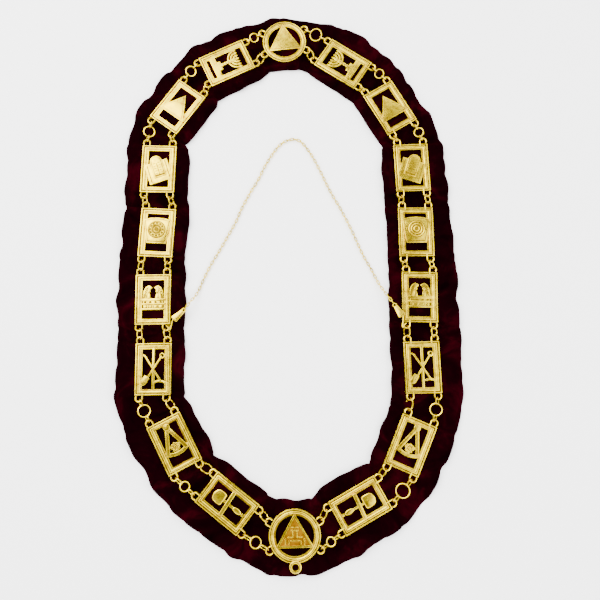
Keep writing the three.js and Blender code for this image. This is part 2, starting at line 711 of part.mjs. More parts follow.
function clasp({ eye, towards, lift, bulge }, loop, side) {
  const length = Math.hypot(...towards);
  const rise = Math.atan2(lift[1] - lift[0], length);
  const placed = new THREE.Object3D();
  placed.position.set(eye[0], eye[1], VELVET_THICKNESS + lift[0]);
  placed.rotation.set(0, -rise, Math.atan2(towards[1], towards[0]), 'ZYX');
  placed.updateMatrix();
  const body = toGeometry(claspBody()).applyMatrix4(placed.matrix);
  const wireLevel = CLASP_THICKNESS * CLASP_WIRE_LEVEL;
  const root = new THREE.Vector3(CLASP_LENGTH - CLASP_WIRE_ROOT, 0, wireLevel).applyMatrix4(placed.matrix);
  const leaving = new THREE.Vector3(CLASP_LENGTH + CLASP_WIRE_ROOT, 0, wireLevel).applyMatrix4(placed.matrix);
  const over = HOOK_HEIGHT + HOOK_WIRE / 2 + CLEARANCE + CLASP_WIRE / 2;
  const seat = HOOK_BORE / 2 - CLASP_WIRE / 2 - CLEARANCE;
  const points = [
    root,
    leaving,
    new THREE.Vector3(bulge[0], bulge[1], Math.max(over, leaving.z)),
    new THREE.Vector3(side * CLASP_WIRE * 1.8, seat * 0.3, over + CLASP_WIRE * 0.4),
    new THREE.Vector3(side * CLASP_WIRE * 0.4, seat, over - CLASP_WIRE * 0.3),
    new THREE.Vector3(side * CLASP_WIRE * 0.1, seat, HOOK_HEIGHT - HOOK_WIRE / 2 - CLEARANCE),
  ];
  const spring = wire(points, CLASP_WIRE, CLASP_WIRE_SIDES, CLASP_WIRE_STEPS);
  const mesh = new THREE.Mesh(toGeometry(join([body, spring])), GOLD);
  mesh.position.set(loop.x, loop.y, 0);
  return mesh;
}

// Medallions

function medallionSolid(item, rim, extras) {
  const pieces = [roundFrame(item.length, rim), ...extras];
  for (const side of [-1, 1]) {
    for (const level of [-1, 1]) {
      const { angle, curl } = medallionHook(item, side, level);
      pieces.push(hook(curl).translate(0, item.length / 2, 0).rotateZ(angle - Math.PI / 2));
    }
  }
  return toGeometry(join(pieces));
}

function equilateral(radius, turn) {
  return outline([90, 210, 330].map((angle) => (
    [radius * Math.cos(radians(angle + turn)), radius * Math.sin(radians(angle + turn))]
  )));
}

function topMedallion() {
  const inner = topItem.length / 2 - MEDALLION_TOP_RIM;
  const triangleShape = equilateral(inner + MEDALLION_TOP_RIM * 0.45, MEDALLION_TOP_TURN);
  return medallionSolid(topItem, MEDALLION_TOP_RIM, [plate2d(triangleShape, OVERLAY_HEIGHT)]);
}

function bottomMedallion() {
  const inner = bottomItem.length / 2 - MEDALLION_BOTTOM_RIM;
  const reach = inner + MEDALLION_BOTTOM_RIM * 0.4;
  const border = equilateral(reach, 0);
  border.holes.push(equilateral(reach * 0.68, 0));
  const loopRadius = (JEWEL_LOOP_BORE + JEWEL_LOOP_WALL) / 2;
  const loopMiddle = -bottomItem.length / 2 - JEWEL_LOOP_BORE / 2 - CLEARANCE;
  const fret = [
    bar(0, -inner * 0.2, inner * 0.5, inner * 0.1), bar(0, inner * 0.02, inner * 0.24, inner * 0.1),
    bar(0, -inner * 0.08, inner * 0.1, inner * 0.3),
  ];
  return medallionSolid(bottomItem, MEDALLION_BOTTOM_RIM, [
    plate2d(equilateral(reach * 0.75, 0), EMBLEM_HEIGHT * 0.8),
    plate2d(border, OVERLAY_HEIGHT),
    ...fret.map((shape) => plate2d(shape, EMBLEM_HEIGHT * 1.15)),
    plate2d(annulus(0, loopMiddle, loopRadius, JEWEL_LOOP_WALL), JEWEL_LOOP_THICKNESS),
  ]);
}

// Assembly

function named(name, mesh) {
  mesh.name = name;
  return mesh;
}

function ringRow(key, which, { places, rows, closing, side }) {
  const isOuter = which === 'outer';
  const column = isOuter ? 0 : 1;
  const isRight = side > 0;
  const level = isOuter ? 1 : -1;
  const starts = places.map((item) => plateHook(item, -1, isOuter, isRight));
  const ends = places.map((item) => plateHook(item, 1, isOuter, isRight));
  const above = [medallionHook(topItem, side, level).middle, ...ends];
  const below = [...starts, medallionHook(bottomItem, side, -level).middle];
  const sets = [...rows.map((row) => row.rings[column]), closing.rings[column]];
  const leanSide = -level * side;
  return above.map((from, gap) => {
    const mesh = ringGroup(from, below[gap], RING_SETS[sets[gap]], leanSide);
    return named(`rings_${key}_${which}_${gap + 1}`, mesh);
  });
}

function metalwork() {
  const pieces = new THREE.Group();
  const sides = {
    left: { places: left.places, rows: LEFT_SIDE, closing: LEFT_CLOSING, side: -1 },
    right: { places: right.places, rows: RIGHT_SIDE, closing: RIGHT_CLOSING, side: 1 },
  };
  for (const [key, half] of Object.entries(sides)) {
    half.places.forEach((item, index) => {
      const mesh = new THREE.Mesh(plateSolid(EMBLEMS[index], half.side > 0), GOLD);
      mesh.position.set(item.middle.x, item.middle.y, PLATE_FLOOR);
      mesh.rotation.z = Math.atan2(-item.along.y, -item.along.x) - Math.PI / 2;
      pieces.add(named(`plate_${key}_${index + 1}`, mesh));
    });
    pieces.add(...ringRow(key, 'outer', half), ...ringRow(key, 'inner', half));
  }
  const top = new THREE.Mesh(topMedallion(), GOLD);
  top.position.set(topItem.middle.x, topItem.middle.y, PLATE_FLOOR);
  const bottom = new THREE.Mesh(bottomMedallion(), GOLD);
  bottom.position.set(bottomItem.middle.x, bottomItem.middle.y, PLATE_FLOOR);
  pieces.add(named('medallion_top', top), named('medallion_bottom', bottom));
  return pieces;
}

function neckChain(leftLoop, rightLoop) {
  const lying = NECK_CHAIN_WIDTH / 2 + NECK_CHAIN_LIFT;
  const end = (loop, { eye }, steps) => steps.map(([x, y, height]) => (
    new THREE.Vector3(loop.x + eye[0] + x, loop.y + eye[1] + y, height * VELVET_THICKNESS)
  ));
  const route = [
    ...end(leftLoop, CLASPS.left, NECK_ENDS.left),
    ...NECK_ROUTE.map(([x, y]) => new THREE.Vector3(x, y, lying)),
    ...end(rightLoop, CLASPS.right, NECK_ENDS.right).reverse(),
  ];
  const geometry = wire(route, NECK_CHAIN_WIDTH, NECK_CHAIN_SIDES, NECK_CHAIN_STEPS);
  return named('neck_chain', new THREE.Mesh(geometry, GOLD));
}

function collar() {
  const pieces = new THREE.Group();
  pieces.add(named('velvet_band', new THREE.Mesh(velvetGeometry(), VELVET)));
  pieces.add(metalwork());
  const leftLoop = plateHook(left.places.find(({ row }) => row.clasped), 1, false, false);
  const rightLoop = plateHook(right.places.find(({ row }) => row.clasped), 1, false, true);
  pieces.add(named('clasp_left', clasp(CLASPS.left, leftLoop, 1)));
  pieces.add(named('clasp_right', clasp(CLASPS.right, rightLoop, -1)));
  pieces.add(neckChain(leftLoop, rightLoop));
  return pieces;
}

// The origin is the middle of the whole collar's footprint, on the surface that it lies on
const group = new THREE.Group();
const body = collar();
body.updateMatrixWorld(true);
const box = new THREE.Box3().setFromObject(body, true);
body.position.set(-(box.min.x + box.max.x) / 2, -(box.min.y + box.max.y) / 2, -box.min.z);
group.add(body);

export default group;
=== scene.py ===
"""Chain of office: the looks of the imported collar, laid flat on a pale floor.

Pieces are made in millimetres in the collar's own frame and scaled to metres at the end.
"""

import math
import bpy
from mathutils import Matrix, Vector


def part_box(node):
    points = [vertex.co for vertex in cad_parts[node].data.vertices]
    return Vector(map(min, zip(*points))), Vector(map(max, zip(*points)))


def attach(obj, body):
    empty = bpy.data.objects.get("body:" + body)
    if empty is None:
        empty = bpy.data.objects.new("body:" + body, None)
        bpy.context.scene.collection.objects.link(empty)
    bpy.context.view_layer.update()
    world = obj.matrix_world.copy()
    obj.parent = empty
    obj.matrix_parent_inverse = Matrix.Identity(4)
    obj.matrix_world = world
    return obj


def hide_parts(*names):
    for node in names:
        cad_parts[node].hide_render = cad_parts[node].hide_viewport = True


bl_info = {
    "name": "Chain of office",
    "version": (1, 0, 0),
    "blender": (4, 5, 0),
    "location": "View3D > Sidebar > Collar",
    "description": "Gilt plates, medallions, jump rings and velvet of a laid-out chain of office",
    "category": "Object",
}

import bmesh
import bpy
from bpy.props import FloatProperty, FloatVectorProperty, PointerProperty
from mathutils import Matrix, Vector, noise
from mathutils.bvhtree import BVHTree

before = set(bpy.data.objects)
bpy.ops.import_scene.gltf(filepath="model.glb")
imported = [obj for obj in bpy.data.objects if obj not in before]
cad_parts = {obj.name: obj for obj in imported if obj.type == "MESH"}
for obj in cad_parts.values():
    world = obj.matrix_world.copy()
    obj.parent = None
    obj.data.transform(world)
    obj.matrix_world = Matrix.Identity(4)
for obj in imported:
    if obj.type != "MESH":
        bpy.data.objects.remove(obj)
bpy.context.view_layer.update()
MM = 0.001


def linear(hex_colour):
    """An sRGB hex colour as linear red, green and blue."""
    parts = [int(hex_colour[i:i + 2], 16) / 255 for i in (1, 3, 5)]
    return tuple(c / 12.92 if c <= 0.04045 else ((c + 0.055) / 1.055) ** 2.4 for c in parts)


def length(name, description, default):
    """A length in millimetres, for the panel."""
    return FloatProperty(name=name, description=description + ", mm", default=default, min=0.0,
                         soft_max=100.0)


def colour(name, description, hex_colour):
    """A surface colour, for the panel."""
    return FloatVectorProperty(
        name=name, description=description, subtype="COLOR", size=3, min=0.0, max=1.0,
        default=linear(hex_colour),
    )


class MetalSizes(bpy.types.PropertyGroup):
    """Sizes of the metalwork, in millimetres, as the solids have them."""

    plate_length: length("Plate length", "Along the collar", 42.0)
    plate_width: length("Plate width", "Across the collar", 29.4)
    border_side: length("Side border", "Width of a plate's long borders", 5.7)
    border_end: length("End border", "Width of a plate's short borders", 4.9)
    frame_height: length("Frame height", "Height of a border's ridge", 2.2)
    emblem_height: length("Emblem height", "Height of a pierced emblem", 1.6)
    overlay_height: length("Overlay height", "Height of an emblem that lies on the frame", 2.7)
    top_rim: length("Top rim", "Width of the top medallion's rim", 4.8)
    bottom_rim: length("Bottom rim", "Width of the bottom medallion's rim", 5.2)
    top_diameter: length("Top medallion", "Diameter", 38.3)
    bottom_diameter: length("Bottom medallion", "Diameter", 40.7)
    hook_wire: length("Hook wire", "Diameter of the hooks' wire", 1.4)
    hook_bore: length("Hook bore", "Width inside a hook's loop", 4.0)
    hook_leg: length("Hook leg", "From the edge to the middle of the loop", 2.35)
    hook_inset: length("Hook inset", "From a plate's side to the middle of the loop", 3.5)
    ring_wire: length("Ring wire", "Diameter of the jump rings' wire", 1.1)
    link_wire: length("Chain wire", "Diameter of the neck chain's wire", 0.7)
    link_pitch: length("Chain pitch", "From one link of the neck chain to the next", 3.0)


class Finishes(bpy.types.PropertyGroup):
    """Colours of the metal and the cloth."""

    gold: colour("Gold", "Lit face of the gold plating", "#E2C400")
    gold_shade: colour("Gold, worn", "Plating where it has dulled", "#AC8E00")
    # The ground's own orange gold, made darker still as painted shadow between the fret's bars
    field: colour("Field", "Recessed ground of the bottom medallion", "#946600")
    # Painted shade: a darker gold laid in the grooves and on fine lines, standing in for the shade that falls
    # there
    recess: colour("Recesses", "Toned plating in grooves and fine lines", "#7C6200")
    velvet: colour("Velvet", "Pile seen from above", "#0E0002")
    # Painted shade: darker patches of the pile's colour, standing in for pile that leans away from the light
    painted_velvet_shade: colour("Velvet, shaded", "Pile that leans away", "#050001")
    velvet_sheen: colour("Velvet sheen", "Light caught by the tips of the pile", "#7A0016")
    floor: colour("Floor", "Plain pale surface", "#FFFFFF")


class Studio(bpy.types.PropertyGroup):
    """Camera and lights."""

    lens: FloatProperty(name="Lens", description="Focal length, mm", default=31.765)
    distance: FloatProperty(name="Distance", description="Camera to the collar", unit="LENGTH",
                            default=0.4395)
    tilt: FloatProperty(name="Tilt", description="Lean of the view from straight down", subtype="ANGLE",
                        default=math.radians(8.0))
    roll: FloatProperty(name="Roll", description="Turn of the picture", subtype="ANGLE",
                        default=math.radians(-1.39))
    ambient: FloatProperty(name="Ambient", description="Strength of the even light", default=6.6)
    softbox: FloatProperty(name="Softbox", description="Power of the main light, W", default=32.0)


# The collar's layout. A plate's turn is that of its long axis, in degrees outwards from straight up and down;
# rings are the outer and the inner set above the plate, and of the closing gap for the last entry.
TURNS = {
    "left": (66, 37, 2.5, 4, 0.5, 0.5, -26, -51),
    "right": (55.5, 29, 1, -1, -2.5, 0, -24.5, -62),
}
OUTER_SETS = {
    "left": ("eye", "eye", "eye", "open", "open", "open", "eye", "three", "three"),
    "right": ("eye", "eye", "eye", "open", "open", "open", "eye", "eye", "three"),
}
# Rings of a set: share of the largest, and degrees that the ring stands up from lying flat
RING_SETS = {
    "one": ((1, 72),),
    "open": ((1, 48),),
    "eye": ((0.66, 58), (1, -14), (0.66, 58)),
    "three": ((1, 60), (1, -14), (1, 60)),
}
SIDES = {"left": -1, "right": 1}
PLATE_COUNT = 8
CLEARANCE = 0.3
VELVET_THICKNESS = 5.6
PLATE_FLOOR = VELVET_THICKNESS + CLEARANCE
HOOK_LEVEL = 1.0
HOOK_HEIGHT = PLATE_FLOOR + HOOK_LEVEL
MEDALLION_HOOK_ANGLE = 28.5
TOP_TURN = 5.0
CLASPED_PLATE = 5


def node_box(node):
    """A node's corners in millimetres."""
    low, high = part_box(node)
    return Vector(low) / MM, Vector(high) / MM


def turned(point, degrees):
    """A plane point turned about the origin."""
    return Vector(point).to_2d() @ Matrix.Rotation(-math.radians(degrees), 2)


class Place:
    """Where a plate or medallion lies: its middle and its turn about the vertical, in degrees."""

    def __init__(self, middle, turn):
        self.middle = Vector(middle).to_2d()
        self.turn = turn

    def matrix(self, floor=PLATE_FLOOR):
        spot = Matrix.Translation((self.middle.x, self.middle.y, floor))
        return spot @ Matrix.Rotation(math.radians(self.turn), 4, "Z")

    def point(self, x, y):
        return (self.matrix() @ Vector((x, y, 0))).to_2d()


def plate_place(side, number):
    low, high = node_box(f"plate_{side}_{number}")
    return Place((low + high) / 2, SIDES[side] * TURNS[side][number - 1])


def top_place():
    low, high = node_box("medallion_top")
    return Place((low + high) / 2, TOP_TURN)


def bottom_place(sizes):
    low, high = node_box("medallion_bottom")
    return Place(((low.x + high.x) / 2, high.y - sizes.bottom_diameter / 2), 0)


def plate_hook(sizes, side, number, up, outer):
    """Middle of the loop of one of a plate's four hooks. up and outer are +1 or -1."""
    across = sizes.plate_width / 2 - sizes.hook_inset
    along = sizes.plate_length / 2 + sizes.hook_leg
    return plate_place(side, number).point(SIDES[side] * outer * across, up * along)


def medallion_hook(sizes, place, diameter, side, level):
    """Angle, loop middle and curl of a medallion's hook. side and level are +1 or -1."""
    midline = place.turn + (0 if side > 0 else 180)
    angle = math.radians(midline + side * level * MEDALLION_HOOK_ANGLE)
    reach = diameter / 2 + sizes.hook_leg
    middle = place.middle + Vector((math.cos(angle), math.sin(angle))) * reach
    return angle, middle, -side * level


# Mesh helpers, in millimetres


def finish(bm, name, surfaces, smooth=35.0):
    """Turns the bmesh into an object at the origin, in metres, that rides on the collar."""
    bmesh.ops.recalc_face_normals(bm, faces=bm.faces)
    bmesh.ops.scale(bm, vec=(MM, MM, MM), verts=bm.verts)
    mesh = bpy.data.meshes.new(name)
    bm.to_mesh(mesh)
    bm.free()
    for polygon in mesh.polygons:
        polygon.use_smooth = True
    mesh.set_sharp_from_angle(angle=math.radians(smooth))
    piece = bpy.data.objects.new(name, mesh)
    bpy.context.scene.collection.objects.link(piece)
    for material in surfaces:
        mesh.materials.append(material)
    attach(piece, "root")
    return piece


VERT, EDGE, FACE = bmesh.types.BMVert, bmesh.types.BMEdge, bmesh.types.BMFace
# Material slots of the cast pieces, after the bright gold: painted shade on fine lines and in grooves, and
# the matt field, whose own orange gold is darkened further as painted shadow between the fret's bars
PAINTED_SHADE_SLOT, FIELD_AND_PAINTED_SHADOW = 1, 2


def only(kind, items):
    """Those of an operator's results that are of one kind."""
    return [item for item in items if isinstance(item, kind)]


def raise_up(bm, base, height, edge, mark):
    """Raises flat faces to a height, rounds their upper edges over and gives them one of the materials."""
    known = set(bm.faces) - set(base)
    raised = bmesh.ops.extrude_face_region(bm, geom=base)["geom"]
    faces = only(FACE, raised)
    bmesh.ops.translate(bm, verts=only(VERT, raised), vec=(0, 0, height))
    rim = [e for e in {e for f in faces for e in f.edges} if sum(f in faces for f in e.link_faces) == 1]
    bmesh.ops.bevel(bm, geom=rim, offset=edge, offset_type="OFFSET", segments=3, profile=0.5,
                    affect="EDGES", clamp_overlap=True, material=-1)
    for face in bm.faces:
        if face not in known:
            face.material_index = mark


def relief(bm, outline, height, floor=0.0, edge=0.28, mark=0):
    """A flat shape with its upper edges rounded over."""
    raise_up(bm, [bm.faces.new([bm.verts.new((x, y, floor)) for x, y in outline])], height, edge, mark)


def border(bm, outer, inner, height, edge):
    """A raised band between two outlines with the same number of corners."""
    rows = [[bm.verts.new((x, y, 0)) for x, y in outline] for outline in (outer, inner)]
    base = [bm.faces.new((rows[0][i - 1], rows[0][i], rows[1][i], rows[1][i - 1])) for i in range(len(outer))]
    raise_up(bm, base, height, edge, 0)


def spun(bm, profile, steps, middle=(0, 0, 0), painted_shade=None):
    """A profile in radius and height, turned all the way round. Faces between the two radii given get the
    painted shade slot: a darker gold that stands in for the shade in a groove.
    """
    known = set(bm.faces)
    verts = [bm.verts.new((middle[0] + r, middle[1], middle[2] + z)) for r, z in profile]
    edges = [bm.edges.new((verts[i - 1], verts[i])) for i in range(len(verts))]
    bmesh.ops.spin(bm, geom=verts + edges, cent=middle, axis=(0, 0, 1), angle=math.tau, steps=steps,
                   use_merge=True)
    whole = [face for face in bm.faces if face not in known]
    if painted_shade:
        for face in whole:
            reach = sum((v.co.to_2d() - Vector(middle).to_2d()).length for v in face.verts) / len(face.verts)
            if painted_shade[0] < reach < painted_shade[1]:
                # Painted shade in the groove
                face.material_index = PAINTED_SHADE_SLOT
    return list({vert for face in whole for vert in face.verts})


def round_profile(radius, thickness, count=10):
    """The round section of a wire, at a distance from the axis that it is turned about."""
    steps = [math.tau * i / count for i in range(count)]
    return [(radius + thickness / 2 * math.cos(a), thickness / 2 * math.sin(a)) for a in steps]


# Shares of a moulding's width between which its groove lies
GROOVE = (0.17, 0.3)


def moulding(width, height):
    """Section of a moulded border from its outer foot: flat edge, groove, round ridge, inner step."""
    shares = (
        (0, 0), (0, 0.64), (0.02, 0.74), (0.05, 0.78), (0.14, 0.78), (0.17, 0.74), (0.2, 0.5), (0.27, 0.48),
        (0.3, 0.7), (0.36, 0.88), (0.44, 0.98), (0.52, 1.0), (0.6, 0.97), (0.68, 0.88), (0.74, 0.76),
        (0.78, 0.62), (0.84, 0.62), (0.87, 0.7), (0.96, 0.7), (1.0, 0.6), (1.0, 0),
    )
    return [(inset * width, level * height) for inset, level in shares]


def inlaid(bm, shape, floor, share=0.84):
    """A raised panel with a line of painted shade round it, on a face at the height given."""
    middle = sum((Vector(point) for point in shape), Vector((0, 0))) / len(shape)
    # Rim of painted shade round the panel
    relief(bm, shape, 0.1, floor=floor - 0.02, edge=0.03, mark=PAINTED_SHADE_SLOT)
    relief(bm, [tuple(middle + (Vector(point) - middle) * share) for point in shape], 0.3, floor=floor - 0.02,
           edge=0.14)


HOOK_BEND = math.radians(216)
# The hook's rounded tip: share of the wire's width that its end keeps, and how far it stands out, x and y
TIP_SHARE = 0.62
TIP_REACH = (0.1, 0.22)


def add_hook(bm, sizes, curl, matrix):
    """Open hook of round wire. Its leg stands on the edge at the origin and its loop curls to one side."""
    known = set(bm.verts)
    radius = (sizes.hook_bore + sizes.hook_wire) / 2
    start = Matrix.Translation((-curl * radius, -sizes.hook_wire, HOOK_LEVEL))
    start @= Matrix.Rotation(math.pi / 2, 4, "X")
    foot = bmesh.ops.create_circle(bm, segments=10, radius=sizes.hook_wire / 2, matrix=start)["verts"]
    leg = bmesh.ops.extrude_edge_only(bm, edges=list({e for v in foot for e in v.link_edges}))["geom"]
    bmesh.ops.translate(bm, verts=only(VERT, leg), vec=(0, sizes.hook_leg + sizes.hook_wire, 0))
    bent = bmesh.ops.spin(bm, geom=only(VERT, leg) + only(EDGE, leg), cent=(0, sizes.hook_leg, HOOK_LEVEL),
                          axis=(0, 0, -curl), angle=HOOK_BEND, steps=16)["geom_last"]
    middle = sum((v.co for v in only(VERT, bent)), Vector()) / len(only(VERT, bent))
    cap = bmesh.ops.extrude_edge_only(bm, edges=only(EDGE, bent))["geom"]
    for vert in only(VERT, cap):
        vert.co = middle + (vert.co - middle) * TIP_SHARE
    bmesh.ops.translate(bm, verts=only(VERT, cap), vec=(-curl * TIP_REACH[0], -TIP_REACH[1], 0))
    bmesh.ops.contextual_create(bm, geom=only(EDGE, cap))
    bmesh.ops.transform(bm, matrix=matrix, verts=[vert for vert in bm.verts if vert not in known])


# Plane outlines in millimetres


def arc(x, y, radius, start, end, step=9):
    count = max(2, math.ceil(abs(end - start) / step))
    angles = [math.radians(start + (end - start) * i / count) for i in range(count + 1)]
    return [(x + radius * math.cos(a), y + radius * math.sin(a)) for a in angles]


def disc(x, y, radius):
    return arc(x, y, radius, 0, 360)[1:]


def arc_band(x, y, radius, width, start, end):
    return arc(x, y, radius + width / 2, start, end) + arc(x, y, radius - width / 2, end, start)


def bar(x, y, width, height, turn=0.0):
    corners = [(i * width / 2, j * height / 2) for i, j in ((-1, -1), (1, -1), (1, 1), (-1, 1))]
    return [tuple(turned(corner, turn) + Vector((x, y))) for corner in corners]


def spread(points, turn):
    return [tuple(turned(point, turn)) for point in points]


def both_sides(half):
    """An outline from its right half, from the foot upwards."""
    return half + [(-x, y) for x, y in reversed(half) if x]


class Window:
    """The opening inside a plate's borders. Places and sizes in it are shares of its width and length."""

    LAPPED = 0.25  # share of the border that a bar reaches over

    def __init__(self, bm, sizes):
        self.bm = bm
        self.w = sizes.plate_width - 2 * sizes.border_side
        self.l = sizes.plate_length - 2 * sizes.border_end
        self.side = self.w / 2 + sizes.border_side * self.LAPPED
        self.across = 2 * self.side / self.w
        self.along = 1 + 2 * sizes.border_end * self.LAPPED / self.l
        self.low = sizes.emblem_height
        self.high = sizes.overlay_height

    def points(self, shares, side=1):
        return [(side * x * self.w, y * self.l) for x, y in shares]

    def shape(self, shares, height, side=1, **how):
        relief(self.bm, self.points(shares, side), height, **how)

    def bar(self, x, y, width, length, height, turn=0.0, lean=0.0, **how):
        """A bar turned about its own middle, and then about the window's."""
        corners = bar(x * self.w, y * self.l, width * self.w, length * self.l, turn)
        relief(self.bm, spread(corners, lean), height, **how)

    def disc(self, x, y, radius, height, **how):
        relief(self.bm, disc(x * self.w, y * self.l, radius * self.w), height, **how)

    def wreath(self, count, reach, start, y, radius, height, **how):
        """Small discs evenly round a middle."""
        for i in range(count):
            spot = turned((reach * self.w, 0), start + 360 / count * i)
            relief(self.bm, disc(spot.x, spot.y + y * self.l, radius * self.w), height, **how)


def candlestand(o):
    """Seven-branched candlestand on a stepped foot."""
    for share in (0.16, 0.3, 0.44):
        band = arc_band(0, o.l * 0.3, o.w * share, o.w * 0.085, 180, 360)
        relief(o.bm, band, o.low * 1.1, edge=0.4)
    for share in (-0.44, -0.3, -0.16, 0, 0.16, 0.3, 0.44):
        o.bar(share, 0.305, 0.11, 0.035, o.low * 1.15, edge=0.3)
        o.bar(share, 0.335, 0.065, 0.04, o.low * 0.95, edge=0.25)
    o.bar(0, 0, 0.102, 0.6, o.low * 1.15, edge=0.45)
    for y in (-0.13, -0.05, 0.03, 0.11, 0.19):
        o.disc(0, y, 0.08075, o.low * 1.25, edge=0.35)
    o.bar(0, -0.21, 0.46, 0.1, o.low * 1.05)
    o.bar(0, -0.285, 0.76, 0.07, o.low * 1.12)
    o.bar(0, -0.33, o.across, 0.16, o.low * 0.95)
    o.bar(0, -0.37, 0.9, 0.025, 0.22, floor=o.low * 0.94, edge=0.1)


def triangle(o):
    """Plain triangle that lies over the long borders."""
    low, high, inner = -0.29, 0.38, 0.82
    shape = [(-0.735, low), (0.735, low), (0, high)]
    o.shape(shape, o.high, edge=0.45)
    middle = low + (high - low) / 3
    inlaid(o.bm, o.points([(x * inner, middle + (y - middle) * inner) for x, y in shape]), o.high, 0.94)


TABLET_LEAN = 20


def tablets(o):
    """Arch-topped tablet on a sheet, both leaning to the left."""
    o.bar(0.02, -0.08, 1.14, 0.58, o.low * 1.3, TABLET_LEAN, edge=0.3)
    for share in (-0.44, 0.44):
        spot = turned((o.w * share, 0), TABLET_LEAN)
        line = bar(spot.x + o.w * 0.02, spot.y - o.l * 0.08, o.w * 0.04, o.l * 0.5, TABLET_LEAN)
        # Fine line of painted shade, standing in for the shade of an engraved line
        relief(o.bm, line, 0.2, floor=o.low * 1.28, edge=0.06, mark=PAINTED_SHADE_SLOT)

    def arched(half, foot):
        return spread([(-half, foot), (half, foot), *arc(0, o.l * 0.2, half, 0, 180)], TABLET_LEAN)

    relief(o.bm, arched(o.w * 0.3, -o.l * 0.24), o.high, edge=0.45)
    inlaid(o.bm, arched(o.w * 0.24, -o.l * 0.21), o.high, 0.9)
    face = o.high + 0.24
    # Lines of painted shade on the tablet's face, standing in for the shade of engraved lines
    o.bar(0, -0.02, 0.04, 0.34, 0.12, lean=TABLET_LEAN, floor=face, edge=0.04, mark=PAINTED_SHADE_SLOT)
    for y in (-0.13, -0.06, 0.01, 0.08, 0.15):
        for side in (-1, 1):
            o.bar(side * 0.11, y, 0.12, 0.016, 0.1, lean=TABLET_LEAN, floor=face, edge=0.03, mark=PAINTED_SHADE_SLOT)


def keystone(o):
    """Keystone with fine rings on its face."""
    shape = o.points(both_sides([(0.46, -0.3), (0.66, 0.34), (0.34, 0.385), (0, 0.4)]))
    relief(o.bm, shape, o.high, edge=0.45)
    middle = o.l * 0.05
    inlaid(o.bm, [(x * 0.88, middle + (y - middle) * 0.89) for x, y in shape], o.high, 0.94)
    # Disc of painted shade behind the rings
    o.disc(0, 0.07, 0.42, 0.14, floor=o.high + 0.2, edge=0.04, mark=PAINTED_SHADE_SLOT)
    for share in (0.36, 0.24, 0.12):
        spun(o.bm, [(r, z + 0.38) for r, z in round_profile(o.w * share, 0.8, 8)], 40,
             middle=(0, o.l * 0.07, o.high))
    o.wreath(12, 0.3, 15, 0.07, 0.028, 0.24, floor=o.high + 0.3, edge=0.1)


def chest(o):
    """Chest on carrying poles with two winged figures that face each other."""
    wing = [(0.03, 0.31), (0.12, 0.35), (0.22, 0.37), (0.36, 0.32), (0.45, 0.22), (0.49, 0), (0.22, 0),
            (0.22, 0.14), (0.12, 0.25)]
    for side in (-1, 1):
        o.shape(wing, o.low, side, edge=0.35)
        for y in (0.08, 0.15, 0.22, 0.28):
            # Feathers drawn as lines of painted shade
            o.bar(side * (0.42 - y * 0.45), y, 0.045, 0.11, 0.3, side * (15 + 150 * y),
                  floor=o.low - 0.05, edge=0.12, mark=PAINTED_SHADE_SLOT)
        o.disc(side * 0.19, 0.21, 0.08, o.low * 1.4, edge=0.6)
        o.shape([(0.09, 0.01), (0.28, 0.01), (0.25, 0.16), (0.14, 0.16)], o.low * 1.25, side, edge=0.45)
    o.bar(0, -0.01, o.across, 0.07, o.low * 1.2)
    o.bar(0, -0.14, 0.92, 0.22, o.low)
    for share in (-0.36, -0.12, 0.12, 0.36):
        inlaid(o.bm, bar(o.w * share, -o.l * 0.185, o.w * 0.19, o.l * 0.085), o.low, 0.72)
        # Dot of painted shade
        o.disc(share, -0.07, 0.06, 0.24, floor=o.low - 0.02, edge=0.1, mark=PAINTED_SHADE_SLOT)
    o.bar(0, -0.12, o.across, 0.05, o.high * 0.82, edge=0.5)
    o.bar(0, -0.25, o.across, 0.05, o.low * 1.2)


def crossed_tools(o):
    """Upright bar with a spade and a pick crossed over it."""
    o.bar(0, 0, 0.12, o.along, o.low, edge=0.5)
    lean = math.degrees(math.atan2(o.w * 0.45, o.l * 0.39))
    o.bar(0, 0, 0.085, 0.78, o.low * 1.15, -lean, edge=0.4)
    o.bar(0, 0, 0.085, 0.78, o.low * 1.3, lean, edge=0.4)
    loop = round_profile(o.w * 0.1, o.w * 0.06, 8)
    spun(o.bm, loop, 24, middle=(o.w * 0.39, o.l * 0.335, o.low * 0.6))
    blade = both_sides([(0.0728, -0.125), (0.13, -0.07), (0.13, 0.125)])
    spade = [(x - o.w * 0.39, y - o.l * 0.29) for x, y in spread(o.points(blade), -lean)]
    relief(o.bm, spade, o.low * 1.05, edge=0.3)
    pick = arc_band(o.w * 0.3, -o.l * 0.56, o.l * 0.26, o.l * 0.055, 40, 118)
    relief(o.bm, pick, o.low * 1.25, edge=0.3)
    o.bar(-0.4, 0.33, 0.2, 0.05, o.low, -lean)


